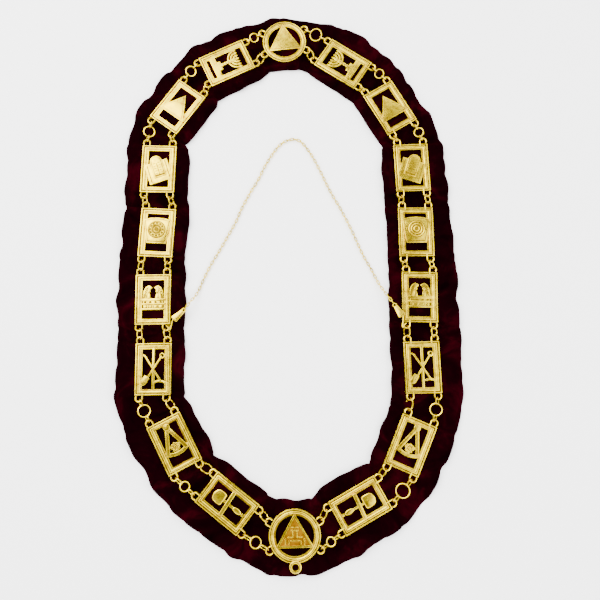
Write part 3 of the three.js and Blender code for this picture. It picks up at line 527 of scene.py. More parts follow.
def dividers(o):
    """Pair of dividers over an arc, with a rosette between its legs."""
    spread_out, drop = o.w * 0.46, o.l * 0.66
    lean = math.degrees(math.atan2(spread_out, drop))
    leg = math.hypot(spread_out, drop) / o.l
    for side in (-1, 1):
        o.bar(side * 0.23, 0.12, 0.17, leg, o.low * 1.2, side * lean, edge=0.35)
        # Line of painted shade down the leg
        o.bar(side * 0.23, 0.12, 0.035, leg * 0.8, 0.16, side * lean, floor=o.low * 1.18, edge=0.04,
              mark=PAINTED_SHADE_SLOT)
    o.disc(0, 0.45, 0.16, o.high, edge=0.5)
    o.disc(0, 0.45, 0.06, 0.3, floor=o.high - 0.05, edge=0.12)
    sweep = math.degrees(math.asin(o.side / (o.l * 0.55)))
    band = arc_band(0, o.l * 0.3, o.l * 0.55, o.l * 0.09, 270 - sweep, 270 + sweep)
    relief(o.bm, band, o.low, edge=0.25)
    # Disc of painted shade behind the rosette
    o.disc(0, -0.08, 0.19, o.low, edge=0.3, mark=PAINTED_SHADE_SLOT)
    o.disc(0, -0.08, 0.07, o.low * 1.5, edge=0.4)
    o.wreath(8, 0.155, 0, -0.08, 0.06, o.low * 1.25, edge=0.4)
    o.bar(0, -0.04, 0.62, 0.05, o.low * 0.9)
    o.bar(0, -0.19, 0.16, 0.12, o.low * 0.9)


def cross_and_trowel(o):
    """Cross bar over a trowel with a spindle handle."""
    blade = [(0.24, 0.1), (0.3, 0.14), (0.31, 0.22), (0.29, 0.33), (0.22, 0.39), (0, 0.43)]
    o.shape(both_sides(blade), o.low * 1.15, edge=1.1)
    o.bar(0, 0.03, 0.11, 0.2, o.low, edge=0.3)
    o.bar(0, -0.01, o.across, 0.1, o.high, 4, edge=0.6)
    o.bar(0, -0.12, 0.1, 0.2, o.low, edge=0.3)
    spindle = [(0.042, -0.425), (0.0744, -0.405), (0.114, -0.35), (0.12, -0.2875), (0.096, -0.225),
               (0.06, -0.175)]
    o.shape(both_sides(spindle), o.low * 1.15, edge=0.8)
    o.bar(0, -(1 + o.along) / 4, 0.12, 0.16, o.low * 0.8)


EMBLEMS = (candlestand, triangle, tablets, keystone, chest, crossed_tools, dividers, cross_and_trowel)


# Materials


def node(tree, kind, settings=None, **inputs):
    """Adds a node, sets what it is told, and links or sets its inputs."""
    made = tree.nodes.new(kind)
    for key, value in (settings or {}).items():
        setattr(made, key, value)
    for key, value in inputs.items():
        socket = made.inputs[key.replace("_", " ")]
        if isinstance(value, bpy.types.NodeSocket):
            tree.links.new(value, socket)
        else:
            socket.default_value = value
    return made


def surface(name, **inputs):
    """A new material with only its output and shader, whose inputs may be given."""
    material = bpy.data.materials.new(name)
    material.use_nodes = True
    tree = material.node_tree
    tree.nodes.clear()
    shader = node(tree, "ShaderNodeBsdfPrincipled", **inputs)
    output = node(tree, "ShaderNodeOutputMaterial")
    tree.links.new(shader.outputs["BSDF"], output.inputs["Surface"])
    return material, tree, shader


def pattern(tree, size, detail, **inputs):
    """A noise whose features are so many millimetres across."""
    where = node(tree, "ShaderNodeTexCoord").outputs["Object"]
    made = node(tree, "ShaderNodeTexNoise", Vector=where, Scale=1 / (size * MM), Detail=detail, **inputs)
    return made.outputs["Fac"]


def bumped(tree, shader, height, strength, depth):
    """Gives a surface a fine relief, with its depth in millimetres."""
    bump = node(tree, "ShaderNodeBump", Height=height, Strength=strength, Distance=depth * MM)
    tree.links.new(bump.outputs["Normal"], shader.inputs["Normal"])


def ramp(tree, factor, stops):
    """A colour ramp from positions and colours."""
    made = node(tree, "ShaderNodeValToRGB")
    elements = made.color_ramp.elements
    while len(elements) < len(stops):
        elements.new(0.5)
    for element, (position, value) in zip(elements, stops):
        element.position = position
        element.color = (*value, 1)
    tree.links.new(factor, made.inputs["Fac"])
    return made.outputs["Color"]


def cast_gilt(name, bright, dull, rough):
    """Zinc alloy, cast and gold plated.

    The plating follows the casting's uneven skin, so highlights break up into bright and deep gold, deeper
    where handling has dulled it.
    """
    material, tree, shader = surface(name, Metallic=1.0)
    cloud = pattern(tree, 4.5, 5.0, Roughness=0.7)
    grain = pattern(tree, 1.4, 4.0, Roughness=0.6)
    tree.links.new(ramp(tree, cloud, [(0.36, dull), (0.56, bright)]), shader.inputs["Base Color"])
    gloss = node(tree, "ShaderNodeMapRange", Value=grain, To_Min=rough - 0.06, To_Max=rough + 0.1)
    tree.links.new(gloss.outputs["Result"], shader.inputs["Roughness"])
    bumped(tree, shader, grain, 0.4, 0.09)
    return material


def silk_velvet(look):
    """Woven velvet with a short dense pile.

    Almost black when seen from above. Its base colour carries noise patches of painted red sheen and painted
    shade, where the pile would lean towards or away from the light.
    """
    material, tree, shader = surface(
        "woven velvet, short pile", Roughness=0.95, Specular_IOR_Level=0.0, Sheen_Weight=0.1,
        Sheen_Roughness=0.4, Sheen_Tint=(*look.velvet_sheen, 1),
    )
    lean = pattern(tree, 26, 5.0, Roughness=0.62, Distortion=0.8)
    pile = pattern(tree, 0.55, 3.0, Roughness=0.7)
    # Painted shade, the pile's own colour and a painted red sheen (#2A0007), laid out in patches by noise
    painted_sheen_and_shade = ramp(tree, lean, [
        (0.3, tuple(look.painted_velvet_shade)), (0.52, tuple(look.velvet)), (0.78, linear("#2A0007")),
    ])
    fleck = node(tree, "ShaderNodeMix", {"data_type": "RGBA", "blend_type": "MULTIPLY"})
    fleck.inputs[0].default_value = 0.5
    tree.links.new(painted_sheen_and_shade, fleck.inputs[6])
    shade = ramp(tree, pile, [(0.3, (0.45,) * 3), (0.7, (1.0,) * 3)])
    tree.links.new(shade, fleck.inputs[7])
    tree.links.new(fleck.outputs[2], shader.inputs["Base Color"])
    bumped(tree, shader, pile, 0.55, 0.35)
    return material


def painted_floor(look):
    """Matt white board: even, without gloss."""
    material, tree, shader = surface(
        "matt white board", Base_Color=(*look.floor, 1), Roughness=0.9, Specular_IOR_Level=0.1,
    )
    bumped(tree, shader, pattern(tree, 3, 2.0), 0.03, 0.1)
    return material


def gilding(*kinds):
    """The gold surfaces of the kinds asked for. Each is made once."""
    look = bpy.context.scene.collar_finishes
    known = {
        "cast": ("cast zinc, gold plated", look.gold, look.gold_shade, 0.22),
        "wire": ("drawn brass wire, gold plated", look.gold, linear("#9C8600"), 0.3),
        # Painted shade: a darker gold for grooves and fine lines, standing in for the shade there
        "painted_shade": ("cast zinc, gold plated, toned recess", look.recess, linear("#5E4800"), 0.5),
        # Matt field: its own orange gold, darkened further as painted shadow between the fret's bars
        "field": ("cast zinc, gold plated, matt field", look.field, linear("#6E4800"), 0.45),
    }
    surfaces = []
    for name, bright, dull, rough in (known[kind] for kind in kinds):
        made = bpy.data.materials.get(name) or cast_gilt(name, tuple(bright), tuple(dull), rough)
        surfaces.append(made)
    return surfaces


class COLLAR_OT_stage(bpy.types.Operator):
    """Pale floor, soft light and the camera"""

    bl_idname = "collar.stage"
    bl_label = "Stage"

    # Height of the ray, from level to straight up, and the share of the even light's strength there
    SKY = ((0.0, 0.12), (0.3, 0.3), (0.5, 0.95), (0.66, 1.0), (0.8, 0.22), (0.95, 0.055))

    def execute(self, context):
        scene = context.scene
        studio = scene.collar_studio
        bm = bmesh.new()
        bmesh.ops.create_grid(bm, x_segments=1, y_segments=1, size=12.0)
        bmesh.ops.translate(bm, verts=bm.verts, vec=(0, 0, -0.0002))
        mesh = bpy.data.meshes.new("floor")
        bm.to_mesh(mesh)
        bm.free()
        mesh.materials.append(painted_floor(scene.collar_finishes))
        floor = bpy.data.objects.new("floor", mesh)
        scene.collection.objects.link(floor)

        world = bpy.data.worlds.new("even light")
        world.use_nodes = True
        tree = world.node_tree
        ray = node(tree, "ShaderNodeTexCoord").outputs["Generated"]
        height = node(tree, "ShaderNodeSeparateXYZ", Vector=ray).outputs["Z"]
        sky = ramp(tree, height, [(at, (shade,) * 3) for at, shade in self.SKY])
        background = tree.nodes["Background"]
        tree.links.new(sky, background.inputs["Color"])
        background.inputs["Strength"].default_value = studio.ambient
        scene.world = world
        for name, power, size, place in (
            ("softbox", studio.softbox, 0.9, (-0.55, 0.5, 1.1)),
            ("fill", studio.softbox * 0.45, 1.2, (0.8, -0.3, 1.0)),
        ):
            data = bpy.data.lights.new(name, "AREA")
            data.energy = power
            data.size = size
            light = bpy.data.objects.new(name, data)
            aim = Vector(place).to_track_quat("Z", "Y").to_matrix().to_4x4()
            light.matrix_world = Matrix.Translation(place) @ aim
            scene.collection.objects.link(light)

        top = top_place().middle * MM
        look_at = Vector((top.x + 0.00827, top.y - 0.209 - 0.02322, 0.0065))
        turn = Matrix.Rotation(studio.roll, 4, "Z")
        back = Vector((0, -math.sin(studio.tilt), math.cos(studio.tilt))) * studio.distance
        camera_data = bpy.data.cameras.new("camera")
        camera_data.lens = studio.lens
        camera_data.sensor_width = 36
        camera = bpy.data.objects.new("camera", camera_data)
        camera.matrix_world = (
            Matrix.Translation(look_at + turn @ back) @ turn @ Matrix.Rotation(studio.tilt, 4, "X")
        )
        scene.collection.objects.link(camera)
        scene.camera = camera
        return {"FINISHED"}


class COLLAR_OT_plates(bpy.types.Operator):
    """Sixteen pierced plates with their emblems and hooks"""

    bl_idname = "collar.plates"
    bl_label = "Plates"

    def execute(self, context):
        sizes = context.scene.collar_metal
        for side in SIDES:
            for number in range(1, PLATE_COUNT + 1):
                self.plate(sizes, side, number)
        return {"FINISHED"}

    @staticmethod
    def plate(sizes, side, number):
        bm = bmesh.new()
        EMBLEMS[number - 1](Window(bm, sizes))
        if side == "right" and EMBLEMS[number - 1] is not crossed_tools:
            bmesh.ops.scale(bm, vec=(-1, 1, 1), verts=bm.verts)
        # The border's groove gets painted shade
        framed = spun(bm, [(2 - inset, level) for inset, level in moulding(1, sizes.frame_height)], 4,
                      painted_shade=(2 - GROOVE[1], 2 - GROOVE[0]))
        for vert in framed:
            inset = 2 - vert.co.to_2d().length
            corner = Vector((vert.co.x, vert.co.y)) @ Matrix.Rotation(math.pi / 4, 2)
            vert.co.x = math.copysign(sizes.plate_width / 2 - inset * sizes.border_side, corner.x)
            vert.co.y = math.copysign(sizes.plate_length / 2 - inset * sizes.border_end, corner.y)
        across = sizes.plate_width / 2 - sizes.hook_inset
        for end in (0, math.pi):
            for curl in (-1, 1):
                matrix = Matrix.Rotation(end, 4, "Z")
                matrix @= Matrix.Translation((curl * across, sizes.plate_length / 2, 0))
                add_hook(bm, sizes, curl, matrix)
        bmesh.ops.transform(bm, matrix=plate_place(side, number).matrix(), verts=bm.verts)
        piece = finish(bm, f"gilt_plate_{side}_{number}", gilding("cast", "painted_shade"))
        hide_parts(f"plate_{side}_{number}")


class COLLAR_OT_medallions(bpy.types.Operator):
    """Top and bottom medallions"""

    bl_idname = "collar.medallions"
    bl_label = "Medallions"

    # The fret's bars, in shares of the radius inside the rim; those off the middle are on both sides
    FRET = (
        (0, 0.43, 0.4, 0.06), (0, 0.29, 0.4, 0.06), (0, -0.21, 0.5, 0.065), (0.11, 0.1, 0.06, 0.34),
        (0.24, -0.05, 0.3, 0.06), (0.49, -0.27, 0.06, 0.32), (0.31, -0.31, 0.06, 0.2),
    )
    LOOP_BORE = 4.7
    LOOP_WALL = 2.65
    LOOP_HEIGHT = 2.2
    LOOP_SECTION = (
        (-0.5, 0), (-0.5, 0.62), (-0.36, 0.9), (-0.12, 1), (0.14, 1), (0.36, 0.88), (0.5, 0.6), (0.5, 0),
    )

    def execute(self, context):
        sizes = context.scene.collar_metal
        self.top(sizes)
        self.bottom(sizes)
        return {"FINISHED"}

    @staticmethod
    def rim(bm, sizes, place, diameter, width):
        # The rim's groove gets painted shade
        spun(bm, [(diameter / 2 - inset, level) for inset, level in moulding(width, sizes.frame_height)], 72,
             painted_shade=(diameter / 2 - GROOVE[1] * width, diameter / 2 - GROOVE[0] * width))
        for side in (-1, 1):
            for level in (-1, 1):
                angle, _, curl = medallion_hook(sizes, place, diameter, side, level)
                matrix = Matrix.Rotation(angle - math.pi / 2 - math.radians(place.turn), 4, "Z")
                add_hook(bm, sizes, curl, matrix @ Matrix.Translation((0, diameter / 2, 0)))

    @staticmethod
    def equilateral(radius):
        return [turned((radius, 0), angle) for angle in (90, 210, 330)]

    def top(self, sizes):
        bm = bmesh.new()
        place = top_place()
        self.rim(bm, sizes, place, sizes.top_diameter, sizes.top_rim)
        reach = sizes.top_diameter / 2 - sizes.top_rim * 0.55
        relief(bm, self.equilateral(reach), sizes.overlay_height, edge=0.4)
        inlaid(bm, self.equilateral(reach * 0.84), sizes.overlay_height, 0.95)
        bmesh.ops.transform(bm, matrix=place.matrix(), verts=bm.verts)
        piece = finish(bm, "gilt_medallion_top", gilding("cast", "painted_shade"))
        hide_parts("medallion_top")

    def bottom(self, sizes):
        bm = bmesh.new()
        place = bottom_place(sizes)
        inner = sizes.bottom_diameter / 2 - sizes.bottom_rim
        self.rim(bm, sizes, place, sizes.bottom_diameter, sizes.bottom_rim)
        reach = inner + sizes.bottom_rim * 0.4
        border(bm, self.equilateral(reach), self.equilateral(reach * 0.8), sizes.overlay_height, edge=0.3)
        # The ground: its own orange gold, with painted shadow between the fret's bars darkening it
        relief(bm, self.equilateral(reach * 0.86), sizes.emblem_height * 0.8, edge=0.1,
               mark=FIELD_AND_PAINTED_SHADOW)
        for x, *others in self.FRET:
            for side in (-1, 1) if x else (1,):
                shape = bar(*(share * inner for share in (side * x, *others)))
                relief(bm, shape, sizes.emblem_height * 0.7, floor=sizes.emblem_height * 0.78, edge=0.2)
        loop_y = -sizes.bottom_diameter / 2 - self.LOOP_BORE / 2 - CLEARANCE
        radius = (self.LOOP_BORE + self.LOOP_WALL) / 2
        section = [(radius + x * self.LOOP_WALL, z * self.LOOP_HEIGHT) for x, z in self.LOOP_SECTION]
        spun(bm, section, 40, middle=(0, loop_y, 0))
        bmesh.ops.transform(bm, matrix=place.matrix(), verts=bm.verts)
        piece = finish(bm, "gilt_medallion_bottom", gilding("cast", "painted_shade", "field"))
        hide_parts("medallion_bottom")


class COLLAR_OT_jump_rings(bpy.types.Operator):
    """Jump rings over the gaps"""

    bl_idname = "collar.jump_rings"
    bl_label = "Jump rings"

    def execute(self, context):
        sizes = context.scene.collar_metal
        top, bottom = top_place(), bottom_place(sizes)
        for side, sign in SIDES.items():
            for which, level in (("outer", 1), ("inner", -1)):
                above = [medallion_hook(sizes, top, sizes.top_diameter, sign, level)[1]]
                above += [plate_hook(sizes, side, n, -1, level) for n in range(1, PLATE_COUNT + 1)]
                below = [plate_hook(sizes, side, n, 1, level) for n in range(1, PLATE_COUNT + 1)]
                below += [medallion_hook(sizes, bottom, sizes.bottom_diameter, sign, -level)[1]]
                for gap, (start, end) in enumerate(zip(above, below)):
                    kind = OUTER_SETS[side][gap] if which == "outer" else "one"
                    self.rings(sizes, f"rings_{side}_{which}_{gap + 1}", start, end, kind, -level * sign)
        return {"FINISHED"}

    @staticmethod
    def rings(sizes, name, start, end, kind, lean_side):
        wire = sizes.ring_wire
        seat = sizes.hook_bore / 2 - wire / 2 - 1.5 * CLEARANCE
        chosen = RING_SETS[kind]
        span = (end - start).length - 2 * seat
        largest = (span + wire * (len(chosen) - 1)) / (2 * sum(size for size, _ in chosen))
        room = HOOK_HEIGHT - 0.16 * VELVET_THICKNESS - wire / 2 - 2 * CLEARANCE
        bm = bmesh.new()
        at = -span / 2
        for size, lean in chosen:
            radius = largest * size
            steepest = math.degrees(math.asin(min(room / radius, 1)))
            angle = lean_side * math.copysign(min(abs(lean), steepest), lean)
            verts = spun(bm, round_profile(radius, wire, 8), 28)
            matrix = Matrix.Translation((at + radius, 0, 0)) @ Matrix.Rotation(math.radians(angle), 4, "X")
            bmesh.ops.transform(bm, matrix=matrix, verts=verts)
            at += 2 * radius - wire
        line = end - start
        middle = (start + end) / 2
        place = Matrix.Translation((middle.x, middle.y, HOOK_HEIGHT))
        place = place @ Matrix.Rotation(math.atan2(line.y, line.x), 4, "Z")
        bmesh.ops.transform(bm, matrix=place, verts=bm.verts)
        piece = finish(bm, f"gilt_{name}", gilding("cast"))
        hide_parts(name)


class COLLAR_OT_velvet(bpy.types.Operator):
    """Padded velvet collar under the metalwork"""

    bl_idname = "collar.velvet"
    bl_label = "Velvet"

    # Millimetres from ring to ring, points across, and the share of a medallion that the velvet lies under
    STEP = 2.2
    ACROSS = 30
    BEDDING = 0.62
    # How far the edge stands out from the solid's, how much the gathers change that, and their size
    EDGE = 0.4
    GATHER = 1.1
    GATHER_SIZE = 15
    FOOT = 0.35
    # Height over the plates' gaps, and how far the cloth may move, millimetres
    SWELL = 7.6
    MOST = 3.2
    RUFFLE = 14
    FRAMES = 20
    CLOTH = {
        "quality": 5, "mass": 0.2, "tension_stiffness": 12, "compression_stiffness": 12,
        "shear_stiffness": 6, "bending_stiffness": 0.05, "use_pressure": True,
        "uniform_pressure_force": 1.2, "shrink_min": -0.09, "vertex_group_mass": "held",
    }

    def execute(self, context):
        sizes = context.scene.collar_metal
        solid = self.edges_of_solid()
        spine = self.spine(sizes)
        rows = [self.section(solid, *sample) for sample in spine]
        piece = self.loft(rows)
        self.settle(context, piece, sizes)
        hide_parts("velvet_band")
        return {"FINISHED"}

    @staticmethod
    def edges_of_solid():
        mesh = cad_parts["velvet_band"].data
        corners = [vert.co / MM for vert in mesh.vertices]
        return BVHTree.FromPolygons(corners, [tuple(face.vertices) for face in mesh.polygons])

    def spine(self, sizes):
        """Samples round the collar: point, direction, and how deep the gap's hollow is there."""
        down = [plate_place("left", n) for n in range(1, PLATE_COUNT + 1)]
        up = [plate_place("right", n) for n in range(PLATE_COUNT, 0, -1)]
        runs = [
            (top_place().middle, Vector((-1, 0)), sizes.top_diameter * self.BEDDING),
            *[(place.middle, turned((0, -1), place.turn), sizes.plate_length) for place in down],
            (bottom_place(sizes).middle, Vector((1, 0)), sizes.bottom_diameter * self.BEDDING),
            *[(place.middle, turned((0, 1), place.turn), sizes.plate_length) for place in up],
        ]
        samples = []
        for index, (middle, along, run) in enumerate(runs):
            count = max(2, round(run / self.STEP))
            for i in range(count + 1):
                samples.append((middle + along * run * (i / count - 0.5), along, 0.0))
            following, onwards, next_run = runs[(index + 1) % len(runs)]
            start = middle + along * run / 2
            end = following - onwards * next_run / 2
            reach = (end - start).length * 0.38
            count = max(4, round((end - start).length / self.STEP))
            for i in range(1, count):
                t = i / count
                u = 1 - t
                control = (start, start + along * reach, end - onwards * reach, end)
                point = (control[0] * u ** 3 + control[1] * 3 * u * u * t + control[2] * 3 * u * t * t
                         + control[3] * t ** 3)
                heading = along.lerp(onwards, t).normalized()
                hollow = min(1.0, min(t, u) / 0.16)
                samples.append((point, heading, hollow * hollow * (3 - 2 * hollow)))
        return samples

    def section(self, solid, point, along, hollow):
        """One ring of points across the band: over the top from outer to inner edge, then back below."""
        outwards = Vector((along.y, -along.x, 0))
        origin = Vector((point.x, point.y, 0.4))
        reaches = []
        for way in (outwards, -outwards):
            hit = solid.ray_cast(origin, way)
            reach = hit[3] if hit[0] else 26.0
            gather = noise.noise((point.to_3d() + way * reach) / self.GATHER_SIZE)
            reaches.append(reach + self.EDGE + self.GATHER * gather)
        ring = []
        for i in range(self.ACROSS + 1):
            share = 2 * i / self.ACROSS - 1
            reach = reaches[0] if share < 0 else reaches[1]
            spot = Vector((point.x, point.y, 0)) - outwards * share * reach
            edge = 1 - abs(share)
            crown = math.sqrt(max(0.0, 1 - (1 - min(1.0, edge / 0.22)) ** 2))
            floor_share = 0.3 + 0.35 * max(0.0, abs(share) - 0.55) / 0.45
            level = 1 - hollow * (1 - floor_share)
            spot.z = self.FOOT + (VELVET_THICKNESS - self.FOOT) * crown * level
            ring.append(spot)
        for i in range(self.ACROSS - 1, 0, -2):
            share = 2 * i / self.ACROSS - 1
            reach = reaches[0] if share < 0 else reaches[1]
            ring.append(Vector((point.x, point.y, 0)) - outwards * share * reach * 0.985)
        return ring

    @staticmethod
    def loft(rows):
        bm = bmesh.new()
        grid = [[bm.verts.new(point) for point in row] for row in rows]
        for r, row in enumerate(grid):
            following = grid[(r + 1) % len(grid)]
            for i in range(len(row)):
                j = (i + 1) % len(row)
                bm.faces.new((row[i], following[i], following[j], row[j]))
        velvet = silk_velvet(bpy.context.scene.collar_finishes)
        return finish(bm, "velvet_collar", [velvet], smooth=80.0)

    @staticmethod
    def under_plates(sizes):
        """Tests whether a point lies under a plate or a medallion."""
        plates = [plate_place(side, n) for side in SIDES for n in range(1, PLATE_COUNT + 1)]
        inverses = [place.matrix(0).inverted() for place in plates]
        rounds = [
            (top_place().middle, sizes.top_diameter / 2),
            (bottom_place(sizes).middle, sizes.bottom_diameter / 2),
        ]
        half_width, half_length = sizes.plate_width / 2, sizes.plate_length / 2

        def test(co, margin):
            for inverse in inverses:
                local = inverse @ Vector((co.x / MM, co.y / MM, 0))
                if abs(local.x) < half_width + margin and abs(local.y) < half_length + margin:
                    return True
            flat = Vector((co.x / MM, co.y / MM))
            return any((flat - middle).length < radius + margin for middle, radius in rounds)

        return test

    def settle(self, context, piece, sizes):
        """Lets the cloth grow a little against what holds it down, so that its loose edges ruffle."""
        covered = self.under_plates(sizes)
        mesh = piece.data
        before = [vert.co.copy() for vert in mesh.vertices]
        held = [i for i, co in enumerate(before) if co.z < 0.0006 or covered(co, -1.5)]
        group = piece.vertex_groups.new(name="held")
        group.add(held, 1.0, "REPLACE")
        cloth = piece.modifiers.new("cloth", "CLOTH")
        for key, value in self.CLOTH.items():
            setattr(cloth.settings, key, value)
        cloth.settings.effector_weights.gravity = 0
        cloth.point_cache.frame_start = 1
        cloth.point_cache.frame_end = self.FRAMES
        for step in range(1, self.FRAMES + 1):
            context.scene.frame_set(step)
        evaluated = piece.evaluated_get(context.evaluated_depsgraph_get())
        after = [vert.co.copy() for vert in evaluated.data.vertices]
        piece.modifiers.remove(cloth)
        piece.vertex_groups.clear()
        context.scene.frame_set(1)
        limit = self.MOST * MM
        for index, vert in enumerate(mesh.vertices):
            move = after[index] - before[index]
            if move.length > limit:
                move *= limit / move.length
            vert.co = before[index] + move + self.ruffle(before[index])
            top = VELVET_THICKNESS + 0.05 if covered(vert.co, 1.0) else self.SWELL
            vert.co.z = min(max(vert.co.z, 0.0), top * MM)
        smooth = piece.modifiers.new("smooth", "SUBSURF")
        smooth.levels = smooth.render_levels = 1

    def ruffle(self, co):
        """Small uneven waves in the cloth, none where it lies on the floor."""
        if co.z < 0.0003:
            return Vector()
        place = Vector((co.x, co.y, 0)) / (self.RUFFLE * MM)
        return Vector((noise.noise(place + Vector((7, 0, 0))) * 0.9,
                       noise.noise(place + Vector((0, 11, 0))) * 0.9, noise.noise(place) * 0.5)) * MM


# Route of the neck chain where it lies flat, from left to right, and from each clasp's eye down to it: x and
# y from the eye, and the share of the velvet's height, as the solids have them
NECK_ROUTE = (
    (-75.6, -9.6), (-72.6, -2.6), (-66.2, 10.1), (-59.1, 21.9), (-52.2, 34), (-45.4, 46), (-40.2, 57.9),
    (-32.2, 72.8), (-25.2, 84.2), (-19, 96.7), (-10.4, 110.1), (-3.6, 117), (3.1, 119.8), (9.2, 119.4),
    (14.2, 115.9), (21.7, 104.7), (28.3, 91), (37.1, 71.1), (45.1, 55.9), (53.8, 37.2), (62.2, 16.2),
    (69.2, 2.4),
)
NECK_ENDS = {
    "left": ((1.7, 2.0, 1.2), (5.8, 7.5, 1.04), (9.1, 12.3, 0.5)),
    "right": ((-1.4, 2.2, 1.22), (-6.5, 10.1, 0.88), (-11.4, 18.8, 0.31)),
}
LYING = 1.05
ROUTE_TOP = 209.0


def smooth_route(points, steps=12):
    """Points on a smooth curve through the route's points."""
    ends = [points[0] * 2 - points[1], *points, points[-1] * 2 - points[-2]]
    route = []
    for a, b, c, d in zip(ends, ends[1:], ends[2:], ends[3:]):
        for i in range(steps):
            t = i / steps
            route.append(0.5 * (b * 2 + (c - a) * t + (a * 2 - b * 5 + c * 4 - d) * t * t
                                + (b * 3 - a - c * 3 + d) * t ** 3))
    return route + [points[-1]]


def walk_route(route, pitch):
    """Places and directions along the route at even steps."""
    at, gone = 0.0, 0.0
    for start, end in zip(route, route[1:]):
        reach = (end - start).length
        while at <= gone + reach:
            yield start.lerp(end, (at - gone) / reach), (end - start).normalized()
            at += pitch
        gone += reach


class COLLAR_OT_neck_chain(bpy.types.Operator):
    """Fine cable chain across the neck"""

    bl_idname = "collar.neck_chain"
    bl_label = "Neck chain"

    LINK_RADIUS = 0.93

    def execute(self, context):
        sizes = context.scene.collar_metal
        shift = top_place().middle - Vector((0, ROUTE_TOP))
        points = [Vector((x + shift.x, y + shift.y, LYING)) for x, y in NECK_ROUTE]
        points = self.end(sizes, "left") + points + self.end(sizes, "right")[::-1]
        bm = bmesh.new()
        wire = sizes.link_wire
        stretch = (sizes.link_pitch + wire * 1.15) / 2 - self.LINK_RADIUS
        for index, (spot, heading) in enumerate(walk_route(smooth_route(points), sizes.link_pitch)):
            verts = spun(bm, round_profile(self.LINK_RADIUS, wire, 6), 12)
            for vert in verts:
                if abs(vert.co.y) > 1e-4:
                    vert.co.y += math.copysign(stretch, vert.co.y)
            roll = Matrix.Rotation(math.radians(12 if index % 2 else -80), 4, "Y")
            turn = heading.to_track_quat("Y", "Z").to_matrix().to_4x4()
            bmesh.ops.transform(bm, matrix=Matrix.Translation(spot) @ turn @ roll, verts=verts)
        piece = finish(bm, "gilt_neck_chain", gilding("wire"), smooth=70.0)
        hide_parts("neck_chain")
        return {"FINISHED"}

    @staticmethod
    def end(sizes, side):
        """The route's points from a clasp's eye downwards."""
        eye = plate_hook(sizes, side, CLASPED_PLATE, -1, -1) + Vector(CLASPS[side][0])
        return [Vector((eye.x + x, eye.y + y, height * VELVET_THICKNESS)) for x, y, height in NECK_ENDS[side]]


# Clasps, as in the solids: the eye's place from the plate's hook, the wide end's place from the eye, the
# heights of both above the velvet, and how far the wire bows out, in millimetres
CLASPS = {
    "left": ((14.3, 14.1), (-9.1, -8.6), (0.3, 0.3), (3.6, -2.2)),
    "right": ((-8.8, 16.5), (6.3, -11.2), (0.7, 3.4), (-4.0, -2.0)),
}


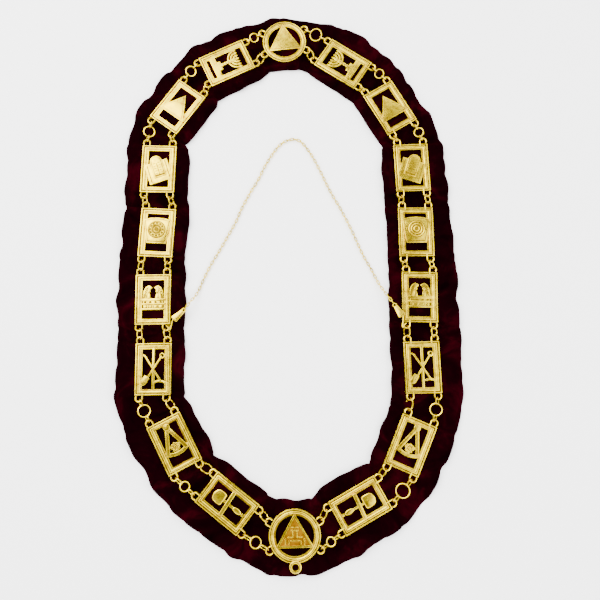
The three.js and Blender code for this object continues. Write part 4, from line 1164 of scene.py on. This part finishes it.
class COLLAR_OT_clasps(bpy.types.Operator):
    """Flat tapered clasps with their sprung wires"""

    bl_idname = "collar.clasps"
    bl_label = "Clasps"

    LENGTH = 11.5
    THICKNESS = 1.3
    WIRE = 0.9

    def execute(self, context):
        sizes = context.scene.collar_metal
        for side in CLASPS:
            self.clasp(sizes, side)
        return {"FINISHED"}

    def clasp(self, sizes, side):
        eye, towards, lift, bulge = CLASPS[side]
        sign = -SIDES[side]
        loop = plate_hook(sizes, side, CLASPED_PLATE, -1, -1)
        rise = math.atan2(lift[1] - lift[0], math.hypot(*towards))
        body = (Matrix.Translation((eye[0], eye[1], VELVET_THICKNESS + lift[0]))
                @ Matrix.Rotation(math.atan2(towards[1], towards[0]), 4, "Z")
                @ Matrix.Rotation(-rise, 4, "Y"))
        bm = bmesh.new()
        taper = [(1.2, -1.7), (self.LENGTH - 0.8, -3.1), (self.LENGTH, -2.6), (self.LENGTH, 2.6),
                 (self.LENGTH - 0.8, 3.1), (1.2, 1.7)]
        relief(bm, taper, self.THICKNESS, edge=0.35)
        relief(bm, [(3.2, -1.0), (self.LENGTH - 1.8, -1.7), (self.LENGTH - 1.8, 1.7), (3.2, 1.0)], 0.25,
               floor=self.THICKNESS - 0.03, edge=0.15)
        spun(bm, [(r, z + self.THICKNESS / 2) for r, z in round_profile(1.45, 1.1, 10)], 28)
        bmesh.ops.transform(bm, matrix=body, verts=bm.verts)
        self.spring(bm, sizes, sign, body, bulge)
        bmesh.ops.translate(bm, verts=bm.verts, vec=(loop.x, loop.y, 0))
        piece = finish(bm, f"gilt_clasp_{side}", gilding("cast"))
        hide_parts(f"clasp_{side}")

    def spring(self, bm, sizes, sign, body, bulge):
        """The wire from the body's wide end into the plate's hook."""
        level = self.THICKNESS * 0.58
        over = HOOK_HEIGHT + sizes.hook_wire / 2 + CLEARANCE + self.WIRE / 2
        seat = sizes.hook_bore / 2 - self.WIRE / 2 - CLEARANCE
        leaving = body @ Vector((self.LENGTH + 1, 0, level))
        points = [
            body @ Vector((self.LENGTH - 1, 0, level)), leaving,
            Vector((bulge[0], bulge[1], max(over, leaving.z))),
            Vector((sign * self.WIRE * 1.8, seat * 0.3, over + self.WIRE * 0.4)),
            Vector((sign * self.WIRE * 0.4, seat, over - self.WIRE * 0.3)),
            Vector((sign * self.WIRE * 0.1, seat, HOOK_HEIGHT - sizes.hook_wire / 2 - CLEARANCE)),
        ]
        route = smooth_route(points, 8)
        rows = []
        for index, spot in enumerate(route):
            heading = (route[min(index + 1, len(route) - 1)] - route[max(index - 1, 0)]).normalized()
            turn = heading.to_track_quat("Z", "Y").to_matrix().to_4x4()
            made = bmesh.ops.create_circle(bm, segments=10, radius=self.WIRE / 2,
                                           cap_ends=index in (0, len(route) - 1),
                                           matrix=Matrix.Translation(spot) @ turn)
            rows.append(made["verts"])
        for row, following in zip(rows, rows[1:]):
            for i in range(len(row)):
                bm.faces.new((row[i - 1], row[i], following[i], following[i - 1]))


class COLLAR_PT_panel(bpy.types.Panel):
    """Lists the collar's pieces and sizes"""

    bl_idname = "COLLAR_PT_panel"
    bl_label = "Chain of office"
    bl_space_type = "VIEW_3D"
    bl_region_type = "UI"
    bl_category = "Collar"

    def draw(self, context):
        for group in (context.scene.collar_metal, context.scene.collar_finishes, context.scene.collar_studio):
            box = self.layout.box()
            for key in group.bl_rna.properties.keys():
                if key not in ("rna_type", "name"):
                    box.prop(group, key)
        for operator in OPERATORS:
            self.layout.operator(operator.bl_idname)


OPERATORS = (
    COLLAR_OT_stage, COLLAR_OT_velvet, COLLAR_OT_plates, COLLAR_OT_medallions, COLLAR_OT_jump_rings,
    COLLAR_OT_clasps, COLLAR_OT_neck_chain,
)
GROUPS = {"collar_metal": MetalSizes, "collar_finishes": Finishes, "collar_studio": Studio}
CLASSES = (*GROUPS.values(), *OPERATORS, COLLAR_PT_panel)


def register():
    for cls in CLASSES:
        bpy.utils.register_class(cls)
    for name, group in GROUPS.items():
        setattr(bpy.types.Scene, name, PointerProperty(type=group))


def unregister():
    for name in GROUPS:
        delattr(bpy.types.Scene, name)
    for cls in reversed(CLASSES):
        bpy.utils.unregister_class(cls)


def main():
    register()
    bpy.ops.collar.stage()
    bpy.ops.collar.velvet()
    bpy.ops.collar.plates()
    bpy.ops.collar.medallions()
    bpy.ops.collar.jump_rings()
    bpy.ops.collar.clasps()
    bpy.ops.collar.neck_chain()


if __name__ == "__main__":
    main()
